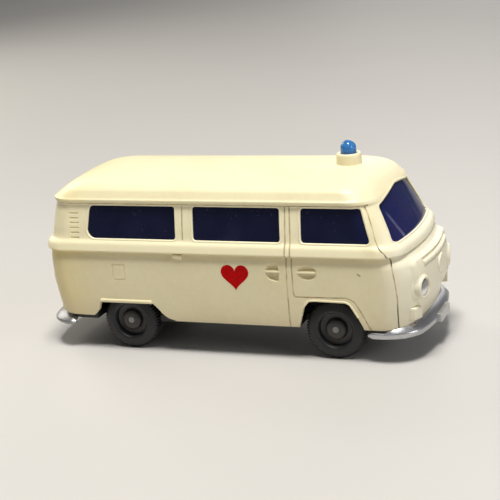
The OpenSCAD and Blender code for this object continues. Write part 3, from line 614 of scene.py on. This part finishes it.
def shade(obj, angle):
    """Smooth shading with sharp edges where faces meet at more than the angle in degrees."""
    obj.data.polygons.foreach_set("use_smooth", np.ones(len(obj.data.polygons), bool))
    obj.data.set_sharp_from_angle(angle=math.radians(angle))
    obj.data.update()


shade(body, 28)
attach(body, "van")
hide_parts("body_shell")

# Trim moulded with the body
# Lips round the windows and arches, handle bars, lamp rings, signal blocks, disc and beacon collar.
# They are the same ivory moulding: soft rounded edges that catch the light, sunk a little into the skin.


def revolve(profile, n):
    """A surface of revolution about +Z from (radius, height) points."""
    profile = np.asarray(profile, float)
    t = circle(n)
    pts = np.stack([profile[:, 0, None] * np.cos(t), profile[:, 0, None] * np.sin(t),
                    np.repeat(profile[:, 1, None], n, 1)], 2).reshape(-1, 3)
    return pts, grid_faces(len(profile), n, wrap_m=True)


def aim(points, place, direction):
    """Turns +Z to a direction and moves the points to a place."""
    turn_to = np.array(Vector((0, 0, 1)).rotation_difference(Vector(direction)).to_matrix())
    return points @ turn_to.T + np.asarray(place)


def nose_normal(y, z, step=0.3):
    """Outward direction of the nose skin from its slopes."""
    dy = (end_x(y + step, z, 1) - end_x(y - step, z, 1)) / (2 * step)
    dz = (end_x(y, z + step, 1) - end_x(y, z - step, 1)) / (2 * step)
    return np.array((1, -dy, -dz)) / math.sqrt(1 + dy * dy + dz * dz)


def on_nose(profile, y, z, n=64):
    """A turned piece that stands on the nose skin at y and z."""
    pts, faces = revolve(profile, n)
    return aim(pts, (end_x(y, z, 1), y, z), nose_normal(y, z)), faces


lip_r, lip_sunk, lip_step, lip_sides = 0.17, 0.13, 0.2, 10
trim = []
for outline in side_outlines:
    for s in (-1, 1):
        trim.append(tube(*flank_path(outline, s, lip_step, lip_sunk, True), lip_r, lip_sides, True))
for outline, end in ((screen_outline, 1), (rear_outline, -1)):
    trim.append(tube(*end_path(outline, end, lip_step, lip_sunk, True), lip_r, lip_sides, True))
arch_foot, arch_lift, arch_sunk = sill_z + 0.15, 0.14, 0.04
for s in (-1, 1):
    for arch, axle, keep_shares, lip in ((rear_arch, axle_r, (-0.45, 0.5), 0.26),
                                         (front_arch, axle_f, (-0.56, 0.5), 0.15)):
        first, last = [axle[0] + k * tyre_d for k in keep_shares]
        edge = [(x, z + arch_lift) for x, z in arch if z > arch_foot and first < x < last]
        trim.append(tube(*flank_path(edge, s, lip_step, arch_sunk), lip, lip_sides))

bar_r, bar_sunk, bar_step, bar_sides = 0.17, 0.09, 0.15, 12
for x, half_l, flanks in ((slide_x - 0.05, 0.92, (-1,)), (door_x, 1.18, (-1, 1))):
    bar = [(x - half_l, handle_z), (x + half_l, handle_z)]
    trim += [tube(*flank_path(bar, s, bar_step, bar_sunk), bar_r, bar_sides) for s in flanks]
stop, stop_proud, stop_r = [(station(0.268), belt_z - 0.38), (station(0.312), belt_z - 0.43)], 0.2, 0.3
trim.append(tube(*flank_path(stop, -1, bar_step, -stop_proud), stop_r, bar_sides))
grille_bar, grille_sunk, grille_r = [(-grille_w, grille_z[1]), (grille_w, grille_z[1])], 0.08, 0.24
trim.append(tube(*end_path(grille_bar, 1, sunk=grille_sunk), grille_r, bar_sides))


def rectangle(ys, zs, r):
    """A rectangle with rounded corners, from its two limits each way."""
    return rounded([(ys[0], zs[0]), (ys[1], zs[0]), (ys[1], zs[1]), (ys[0], zs[1])], [r] * 4)


def pillow(outline, end, rise, edge, slope=0.0):
    """A low block on the nose or tail under an outline: its height falls off as a quarter ellipse within edge
    of the rim, and by the slope's share from its foot to its top."""
    rounds, sunk = 9, 0.06
    mid = outline.mean(0)
    reach = np.hypot(*(outline - mid).T).mean()
    shares = np.concatenate([[1.0], 1 - np.linspace(0, 1, rounds)[1:] * edge / reach, [0.5, 0.05]])
    pts = []
    for s in shares:
        t = min(1.0, (1 - s) * reach / edge)
        h = rise * math.sqrt(max(0.0, 1 - (1 - t) ** 2)) - sunk * (s == 1)
        ring = mid + (outline - mid) * s
        fall = 1 - slope * (ring[:, 1] - outline[:, 1].min()) / np.ptp(outline[:, 1])
        pts += [(end_x(y, z, end) + end * h * f, y, z) for (y, z), f in zip(ring, fall)]
    return np.array(pts), sleeve(len(shares), len(outline), foot=False)


lamp_y, lamp_z, lamp_r = 6.4, sill_z + 0.53 * panel_h, 1.35
ring_profile = [(lamp_r + a, b) for a, b in (
    (0.12, -0.5), (0.06, 0.1), (-0.02, 0.26), (-0.1, 0.33), (-0.18, 0.34), (-0.26, 0.28), (-0.31, 0.16),
    (-0.34, -0.3))]
disc_r, disc_z = 1.25, sill_z + 0.635 * panel_h
disc_edge = ((0, -0.3), (0, 0.08), (-0.04, 0.15), (-0.12, 0.18), (-0.24, 0.17), (-0.34, 0.13))
disc_profile = [(disc_r + a, b) for a, b in disc_edge] + [(0.5, 0.12), (0.001, 0.12)]
trim.append(on_nose(disc_profile, 0, disc_z))
pod_r, pod_drop, pod_form = lamp_r + 0.22, 1.65, (0.16, 0.45)
# signal blocks and tail-lamp pads: end, width shares, height shares, corner radius, rise, edge and slope
blocks = [(1, (0.66, 0.8), (0.11, 0.28), 0.12, (0.8, 0.09, 0.3)),
          (-1, (0.66, 0.78), (0.42, 0.6), 0.3, (0.11, 0.2, 0.0))]
for s in (-1, 1):
    trim.append(on_nose(ring_profile, s * lamp_y, lamp_z))
    drop = np.where(np.sin(turn) < 0, pod_drop, 1.0)
    pod = np.stack([s * lamp_y + pod_r * np.cos(turn), lamp_z + pod_r * np.sin(turn) * drop], 1)
    trim.append(pillow(pod, 1, *pod_form))
    for end, wide_shares, high_shares, r, form in blocks:
        block = rectangle(sorted(s * k * half_w for k in wide_shares),
                          [sill_z + k * panel_h for k in high_shares], r)
        trim.append(pillow(block, end, *form))
collar_profile = [(collar_r + a, b) for a, b in ((0.02, -1.2), (0.02, -0.2), (0, 0.0), (-0.06, 0.8))]
collar_profile += [(collar_r + a, collar_h + b) for a, b in ((-0.09, -0.14), (-0.15, -0.04), (-0.24, 0))]
collar_profile += [(dome_r + a, collar_h + b) for a, b in ((0.22, 0), (0.12, -0.04), (0.05, -0.14))]
collar_profile += [(bore_r, -0.6)]
pts, faces = revolve(collar_profile, 96)
trim.append((pts + np.array((collar_x, 0, roof_z)), faces))
body_trim = solid("moulded_trim", *gather(trim), ivory.material)
shade(body_trim, 50)
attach(body_trim, "van")

# Headlamp lenses
# The lenses are domes moulded with the nose and touched with silver paint by brush.
# Each lens is painted dark at the top and bright low down: a painted reflection of the pale floor.
silver_paint = Finish("silver_paint", Metallic=0.85)
streak = silver_paint.place.noise(3.0, 5.0)
# painted reflection: darker at the top, bright low down, streaked by the brush
floor_reflection = (silver_paint.place.part(2) + streak * 0.4).clamp(lamp_z + 0.35, lamp_z - 0.3)
silver_paint.feed(Base_Color=floor_reflection.mix((0.30, 0.30, 0.31), (0.85, 0.85, 0.86)),
                  Roughness=streak * 0.2 + 0.12)
silver_paint.bump(streak, 0.12, 0.02)
lens_r, lens_rim, lens_rise, lens_sunk = lamp_r - 0.25, 0.04, 0.3, 0.1
lens_profile = [(lens_r, -lens_sunk)]
lens_profile += [(lens_r * math.cos(a), lens_rim + lens_rise * math.sin(a)) for a in np.linspace(0, 1.56, 12)]
lens_pieces = [on_nose(lens_profile, s * lamp_y, lamp_z, 48) for s in (-1, 1)]
lenses = solid("headlamp_lenses", *gather(lens_pieces), silver_paint.material)
shade(lenses, 60)
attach(lenses, "van")

# Printed sign
# A plain red heart, pad-printed on the sliding door.
# The ink is a thin film that follows the panel, a little patchy where the pad pressed less.
red_ink = Finish("red_ink", Specular_IOR_Level=0.08)
patchy = red_ink.place.noise(2.5, 6.0)
red_ink.feed(Base_Color=patchy.clamp(0.35, 0.65).mix((0.42, 0.0005, 0.001), (0.54, 0.001, 0.002)),
             Roughness=patchy * 0.2 + 0.34)
red_ink.bump(red_ink.place.noise(7.0), 0.25, 0.01)
sign_x, sign_z, sign_size, ink_t, sign_rings = station(0.562), sill_z + 6.2, 3.65, 0.02, 16
t = circle(120)
heart = np.stack([16 * np.sin(t) ** 3,
                  13 * np.cos(t) - 5 * np.cos(2 * t) - 2 * np.cos(3 * t) - np.cos(4 * t)], 1)
heart = heart / np.ptp(heart[:, 0]) * sign_size
heart -= (heart.max(0) + heart.min(0)) / 2
sign_pts = [(sign_x + a * s, -flank_y(sign_x + a * s, sign_z + b * s) - ink_t, sign_z + b * s)
            for s in np.linspace(1, 0.02, sign_rings) for a, b in heart]
sign_faces = sleeve(sign_rings, len(heart), foot=False)
sign = solid("red_heart_print", sign_pts, sign_faces, red_ink.material)
if sign.data.polygons[0].normal.y > 0:
    sign.data.flip_normals()
shade(sign, 60)
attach(sign, "van")

# Glazing
# One dark blue transparent moulding pushed up inside the shell.
# It shows as nearly black panes set just behind the skin. The windscreen is painted bluer, with a pale line
# painted on it for a far pillar seen through the glass.
glass = Finish("dark_blue_glazing", Roughness=0.07, Specular_IOR_Level=0.45)
haze = glass.place.scaled((1.0, 1.0, 0.6)).noise(0.35, 5.0)
forward = glass.place.part(0).clamp(17.0, 22.0)
tint = haze.mix((0.004, 0.005, 0.020), (0.009, 0.011, 0.040))
# painted view through the glass: a pale diagonal line for a lit pillar on the far side
pillar_view_top, pillar_view_y, pillar_view_slope, pillar_view_spread = 18.4, 5.95, 0.32, 0.035
drop = pillar_view_top - glass.place.part(2)
pillar_view = (glass.place.part(1) + pillar_view_y - drop * pillar_view_slope).math("ABSOLUTE") - drop * pillar_view_spread
pillar_view = pillar_view.clamp(0.34, 0.02) * forward * drop.clamp(-0.2, 1.5)
pillar_view = pillar_view * (glass.place.noise(1.1, 5.0).clamp(0.3, 0.6) * 0.6 + 0.4)
# painted light: the windscreen is bluer than the side panes, for light seen through the cab
screen_painted_tint = glass.place.noise(0.22).clamp(0.38, 0.62)
screen_painted_tint = screen_painted_tint.mix((0.006, 0.013, 0.085), (0.016, 0.015, 0.085))
tint = (forward * 0.85).mix(tint, screen_painted_tint)
scratches = glass.place.noise(2.5, 7.0).clamp(0.6, 0.72)
glass.feed(Base_Color=(pillar_view * 0.5).mix(tint, (0.20, 0.21, 0.32)),
           Roughness=haze.clamp(0.4, 0.75) * 0.16 + scratches * 0.25 + 0.05)
glass.bump(glass.place.noise(0.25), 0.25, 0.08)


def pane(inset):
    """Rings of the glazing: straight between two levels of the window band and below, then up the brow."""
    n, n_side = 18, 60
    low_z, top_z = foot_z + 0.4 * pillar_h, gutter_z - 0.1
    ends = skin([level(z) for z in (low_z, top_z)], n, n_side, inset, relief=False)
    share = (np.linspace(foot_z - 0.45, top_z, 14) - low_z) / (top_z - low_z)
    brow_z = np.concatenate([[gutter_z + 0.2], np.linspace(edge_z, edge_z + 1.15, 10)])
    brow = skin(level(brow_z), n, n_side, inset, relief=False)
    return np.concatenate([ends[0] + share[:, None, None] * (ends[1] - ends[0]), brow])


pane_out, pane_in = 0.25, 0.75
band = np.concatenate([pane(pane_out), pane(pane_in)[::-1]])
band_faces = grid_faces(len(band), band.shape[1], wrap_n=True, wrap_m=True)
glazing = solid("glazing_insert", band.reshape(-1, 3), band_faces, glass.material)
shade(glazing, 40)
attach(glazing, "van")
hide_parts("glazing")

# Beacon
# A clear blue dome moulded with a plug that is pressed into the roof collar.
# Part of the light passes through it.
blue_lens = Finish("blue_lens", Transmission_Weight=0.55, IOR=1.49, Roughness=0.06)
swirl = blue_lens.place.noise(0.9)
blue_lens.feed(Base_Color=swirl.mix((0.03, 0.18, 0.56), (0.06, 0.30, 0.76)),
               Roughness=swirl * 0.1 + 0.03)
dome_low, dome_top, dome_edge = roof_z - 0.6, high("beacon_dome")[2], 0.1
dome_foot = dome_top - dome_r
dome_profile = [(0.001, dome_low), (dome_r - dome_edge, dome_low), (dome_r, dome_low + dome_edge)]
dome_profile += [(dome_r, z) for z in np.linspace(dome_low + 2 * dome_edge, dome_foot, 8)]
dome_turn = np.linspace(0.06, 1.57, 22)
dome_profile += [(dome_r * math.cos(a), dome_foot + dome_r * math.sin(a)) for a in dome_turn]
pts, faces = revolve(dome_profile, 72)
beacon = solid("blue_beacon", pts + np.array((collar_x, 0, 0)), faces, blue_lens.material)
shade(beacon, 60)
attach(beacon, "van")
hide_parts("beacon_dome")

# Bumpers
# Blades moulded in plastic to look pressed and coated silver, pushed on to the base plate by a tongue.
# The coat holds fine scratches. It is painted darker and rougher at the tail and, less, across the nose, as
# painted shade that tones down the reflections there.
silver = Finish("silver_coat", Metallic=0.75)
grain = silver.place.scaled((1.0, 1.0, 5.0)).noise(1.8, 7.0, 0.65)
dull = silver.place.noise(0.5)
rub = silver.place.noise(3.5, 6.0, 0.7).clamp(0.6, 0.7)
# painted shade: darker at the tail and, less, across the nose
dimmed_ends = silver.place.part(0).clamp(-20.0, -22.0) + silver.place.part(0).clamp(22.5, 25.0) * 0.3
tone = dull.mix((0.48, 0.48, 0.495), (0.58, 0.58, 0.595))
tone = (dimmed_ends * 0.8).mix(tone, (0.26, 0.26, 0.265))
silver.feed(Base_Color=(rub * 0.15).mix(tone, (0.24, 0.23, 0.22)),
            Roughness=grain * 0.12 + rub * 0.06 + dimmed_ends * 0.14 + 0.19)
silver.bump(dull, 0.1, 0.02)
blade_t = 0.85
blade_shares = np.array([
    (-0.3, 0.1), (-0.2, 0.0), (0.12, 0.0), (0.3, 0.05), (0.44, 0.16), (0.5, 0.3), (0.5, 0.46), (0.47, 0.54),
    (0.4, 0.6), (0.22, 0.72), (0.0, 0.86), (-0.2, 0.96), (-0.5, 1.08), (-1.0, 1.22), (-1.45, 1.3),
    (-1.45, 1.15), (-0.6, 0.9), (-0.34, 0.7)])
wing_shares = np.array([
    (-0.3, 0.1), (-0.2, 0), (0.12, 0), (0.36, 0.03), (0.46, 0.1), (0.5, 0.2), (0.5, 0.4), (0.5, 0.6),
    (0.49, 0.75), (0.47, 0.88), (0.42, 0.96), (0.33, 1), (0.2, 0.97), (0.05, 0.88), (-0.12, 0.76),
    (-0.3, 0.66), (-0.35, 0.5), (-0.34, 0.3)])


def blade_along(path, low_z, tops, face):
    """A section in shares of thickness and height, swept along a path seen from above.

    Face runs from 0, the flat section of the wings, to 1, the sloped one across the end."""
    end_share, end_run = 0.45, 3
    along = np.gradient(path, axis=0)
    along /= np.linalg.norm(along, axis=1)[:, None]
    out = np.stack([-along[:, 1], along[:, 0]], 1)
    run = np.arange(len(path))
    taper = end_share + (1 - end_share) * smooth(np.minimum(run, run[::-1]) / end_run)[:, None]
    shares = wing_shares + face[:, None, None] * (blade_shares - wing_shares)
    tops = tops[:, None]
    mid = (low_z + tops) / 2
    z = mid + (low_z + shares[:, :, 1] * (tops - low_z) - mid) * taper
    flat = path[:, None] + out[:, None] * (shares[:, :, 0] * blade_t * taper)[:, :, None]
    return np.concatenate([flat, z[:, :, None]], 2).reshape(-1, 3), sleeve(len(path), len(blade_shares))


def bumper_path(x, bow, w, end_at, n):
    """A bow across one end with its sides run back to end_at, sampled evenly, left to right."""
    ex, ey = half_end(x, bow, w, 24)
    half = np.column_stack([np.append(ex, end_at), np.append(ey, w)])
    return resample(np.concatenate([half[::-1], half[1:] * (1, -1)]), count=n)


bar_low, bar_top, side_top = low("front_bumper")[2] + 0.116, high("front_bumper")[2], sill_z - 0.3
number_w, number_proud, number_r, number_back = 4.6, 0.25, 0.15, 0.4
bar_face = front_x - number_proud
path = bumper_path(bar_face - blade_t / 2, nose_bow, panel_w - sill_tuck - blade_t / 4, station(1.367), 130)
step_at, step_l = nose_x - 4.6, 1.1
step_up = smooth((path[:, 0] - step_at) / step_l)
number = rectangle((-number_w / 2, number_w / 2), (low("front_bumper")[2], bar_low + 1.04), number_r)
front_bar = solid("front_bumper_blade", *gather([
    blade_along(path, bar_low, side_top + step_up * (bar_top - side_top), step_up),
    prism(number, 0, bar_face - number_back, front_x - 0.01)]), silver.material)
shade(front_bar, 40)
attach(front_bar, "van")
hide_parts("front_bumper")
rear_low, rear_h, rear_bow, rear_w = low("rear_bumper")[2], 0.9, tail_bow * 1.5, panel_w * 0.955
path = bumper_path(-back_x - blade_t / 2, rear_bow, rear_w, -station(-0.6), 110) * (-1, -1)
tongue_w, tongue_t, tongue_top = 7.3, 0.56, sill_z - 0.2
tongue = rectangle((-tongue_w / 2, tongue_w / 2), (tongue_top - tongue_t, tongue_top), 0)
rear_bar = solid("rear_bumper_blade", *gather([
    blade_along(path, rear_low, np.full(len(path), rear_low + rear_h), np.ones(len(path))),
    prism(tongue, 0, back_x + blade_t / 2, tail_x + tail_tuck + corner)]), silver.material)
shade(rear_bar, 40)
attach(rear_bar, "van")
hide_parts("rear_bumper")

# Tyres
# Soft dark-grey rings stretched over the hubs.
# They have a rounded shoulder, a groove round the tread and fine cross ribs.
rubber = Finish("soft_tyre", Specular_IOR_Level=0.35)
soot, dust = rubber.place.noise(0.9), rubber.place.noise(3.2, 6.0).clamp(0.52, 0.7)
tone = soot.mix((0.013, 0.014, 0.016), (0.024, 0.025, 0.028))
rubber.feed(Base_Color=(dust * 0.35).mix(tone, (0.05, 0.048, 0.045)),
            Roughness=soot * 0.15 + dust * 0.15 + 0.36)
rubber.bump(rubber.place.noise(5.0), 0.3, 0.02)
tyre_w, hub_d, ribs, rib_depth = 2.2, 4.2, 60, 0.2
tyre_shares = np.array([
    (0, 0.9), (0, 0.22), (0.03, 0.13), (0.08, 0.06), (0.15, 0.015), (0.22, 0), (0.3, 0.005), (0.4, 0.025),
    (0.5, 0.05), (0.6, 0.08), (0.7, 0.112), (0.79, 0.145), (0.86, 0.175), (0.92, 0.205), (0.965, 0.235),
    (0.99, 0.265), (1, 0.31), (1, 0.38), (1, 0.44), (0.955, 0.465), (0.955, 0.535), (1, 0.56), (1, 0.64),
    (1, 0.72), (0.97, 0.82), (0.85, 0.93), (0.55, 1), (0.2, 0.97)])


def wheel_ring(shares, inner_d, outer_d, n, ribbed=False):
    """A closed ring about +Z. Near the outside its radius falls by depth (1 - c) / 2: c is the cosine of ribs
    times the angle, with its size raised to the power 0.5 and its sign kept."""
    rib_from, rib_within = 0.72, 0.26
    r = (inner_d + shares[:, 0] * (outer_d - inner_d)) / 2
    t = circle(n)
    rad = np.repeat(r[:, None], n, 1)
    if ribbed:
        near = smooth((shares[:, 0] - rib_from) / rib_within)[:, None]
        wave = np.cos(ribs * t)
        rad = rad - near * rib_depth * (1 - np.sign(wave) * np.abs(wave) ** 0.5) / 2
    pts = np.stack([rad * np.cos(t), rad * np.sin(t), -np.repeat(shares[:, 1, None], n, 1) * tyre_w], 2)
    return pts.reshape(-1, 3), grid_faces(len(shares), n, wrap_n=True, wrap_m=True)


wheels = [(end, name, axle, s) for end, axle in (("front", axle_f), ("rear", axle_r))
          for name, s in (("left", 1), ("right", -1))]
for end, name, axle, s in wheels:
    node = f"tyre_{end}_{name}"
    place = (axle[0], high(node)[1] if s > 0 else low(node)[1], axle[2])
    pts, faces = wheel_ring(tyre_shares, hub_d, tyre_d, ribs * 8, ribbed=True)
    tyre = solid(node + "_soft", aim(pts, place, (0, s, 0)), faces, rubber.material)
    shade(tyre, 45)
    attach(tyre, end + "_wheelset")
    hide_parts(node)

# Hubs
# Brown-grey moulded wheels with a raised cap and a stepped rim.
# They are pressed on the wire, whose cut end shows in the middle.
brown = Finish("brown_hub", Specular_IOR_Level=0.45)
mottle, film = brown.place.noise(1.4), brown.place.noise(3.0, 6.0).clamp(0.5, 0.68)
tone = mottle.mix((0.030, 0.027, 0.026), (0.055, 0.050, 0.046))
brown.feed(Base_Color=(film * 0.5).mix(tone, (0.016, 0.015, 0.014)), Roughness=mottle * 0.2 + 0.28)
brown.bump(brown.place.noise(4.0), 0.3, 0.02)
hub_shares = np.array([
    (0.19, 0.2), (0.19, 0.14), (0.205, 0.12), (0.24, 0.116), (0.3, 0.122), (0.4, 0.13), (0.5, 0.15),
    (0.56, 0.18), (0.6, 0.23), (0.62, 0.3), (0.635, 0.4), (0.66, 0.46), (0.74, 0.48), (0.86, 0.48),
    (0.95, 0.46), (1, 0.44), (1, 0.9), (0.6, 0.9), (0.5, 1), (0.24, 1), (0.24, 0.2)])
for end, name, axle, s in wheels:
    node = f"hub_{end}_{name}"
    place = (axle[0], s * high(f"tyre_{end}_left")[1], axle[2])
    pts, faces = wheel_ring(hub_shares, 0.0, hub_d, 96)
    hub = solid(node + "_moulding", aim(pts, place, (0, s, 0)), faces, brown.material)
    shade(hub, 40)
    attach(hub, end + "_wheelset")
    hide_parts(node)

# Axles, base plate and seats
# Drawn steel wire axles, a dark moulded base plate with its bearings, and the seat moulding on top of it.
# They keep the meshes of their CAD nodes: little of them shows under the body and behind the glazing.
steel = Finish("steel_wire", Metallic=1.0)
drawn = steel.place.scaled((1.0, 6.0, 1.0)).noise(1.5)
steel.feed(Base_Color=drawn.mix((0.16, 0.155, 0.15), (0.30, 0.29, 0.28)),
           Roughness=drawn * 0.2 + 0.34)
dark = Finish("dark_plastic", Specular_IOR_Level=0.4)
shadow = dark.place.noise(0.8)
dark.feed(Base_Color=shadow.mix((0.014, 0.014, 0.015), (0.028, 0.027, 0.026)),
          Roughness=shadow * 0.2 + 0.45)
dark.bump(dark.place.noise(4.0), 0.3, 0.03)
finishes = {"front_axle": steel, "rear_axle": steel, "base_plate": dark, "seat_insert": dark}
for node, finish in finishes.items():
    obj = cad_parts[node]
    obj.data.materials.clear()
    obj.data.materials.append(finish.material)

# Studio
# A plain pale floor that runs back out of sight, one soft lamp overhead and weak ones round it.
# The sky is dim where it lights the van and pale where the camera sees it.
floor_finish = Finish("studio_floor", Roughness=0.6)
paper = floor_finish.place.noise(0.02)
floor_finish.feed(Base_Color=paper.mix((0.53, 0.51, 0.485), (0.57, 0.55, 0.525)))
reach = 4000.0
floor = mesh_object("floor", [(-reach, -reach, 0), (reach, -reach, 0), (reach, reach, 0), (-reach, reach, 0)],
                    [(0, 1, 2, 3)], floor_finish.material)
lamp_aim = Vector((0, 0, 0.012))


def lamp(name, place, size, watts, tint):
    """A square area lamp at a place in millimetres, aimed at the van."""
    data = bpy.data.lights.new(name, "AREA")
    data.size, data.energy, data.color = size * MM, watts, tint
    obj = new_object(name, data)
    obj.location = [v * MM for v in place]
    obj.rotation_euler = (lamp_aim - obj.location).to_track_quat("-Z", "Y").to_euler()


lamp("overhead", (30, -68, 355), 110, 1.56, (1, 0.985, 0.95))
lamp("rear_glow", (-260, 160, 160), 160, 0.35, (1, 0.96, 0.86))
lamp("back_panel", (-30, 600, 190), 320, 0.5, (1, 0.99, 0.97))
lamp("front_fill", (300, -60, 100), 120, 0.24, (0.96, 0.98, 1))
lamp("side_fill", (-60, -320, 170), 170, 0.02, (1, 0.95, 0.88))
world = bpy.data.worlds.new("studio")
bpy.context.scene.world = world
world.use_nodes = True
sky = world.node_tree
rays = sky.nodes.new("ShaderNodeLightPath").outputs
gloss = Field(sky, rays["Is Glossy Ray"]).mix((0.10, 0.098, 0.095), (0.10, 0.105, 0.12))
shown = Field(sky, rays["Is Camera Ray"]).mix(gloss, (0.66, 0.645, 0.63))
sky.links.new(shown.socket, sky.nodes["Background"].inputs["Color"])

# Camera
# The photo's view: a long lens close to the toy and a little above it.
# It looks at the right side from a little ahead and is rolled to one side.
azimuth, elevation, roll = np.radians((22.147, 16.736, -5.144))
distance, lens_mm, sensor_mm, shift_x, clip_m = 174.175, 97.185, 36.0, -0.0108, 0.01
target = np.array(((axle_f[0] + axle_r[0]) / 2 + 0.81, 0, 11.0))
backward = np.array((math.sin(azimuth) * math.cos(elevation), -math.cos(azimuth) * math.cos(elevation),
                     math.sin(elevation)))
level_right = np.array((math.cos(azimuth), math.sin(azimuth), 0))
level_up = np.cross(backward, level_right)
right = math.cos(roll) * level_right + math.sin(roll) * level_up
upward = -math.sin(roll) * level_right + math.cos(roll) * level_up
camera_data = bpy.data.cameras.new("camera")
camera_data.lens, camera_data.sensor_width = lens_mm, sensor_mm
camera_data.shift_x, camera_data.clip_start = shift_x, clip_m
camera = new_object("camera", camera_data)
pose = np.eye(4)
pose[:3, :3] = np.stack([right, upward, backward], 1)
pose[:3, 3] = (target + backward * distance) * MM
camera.matrix_world = Matrix(pose.tolist())
scene = bpy.context.scene
scene.camera = camera
scene.view_settings.view_transform = "Standard"
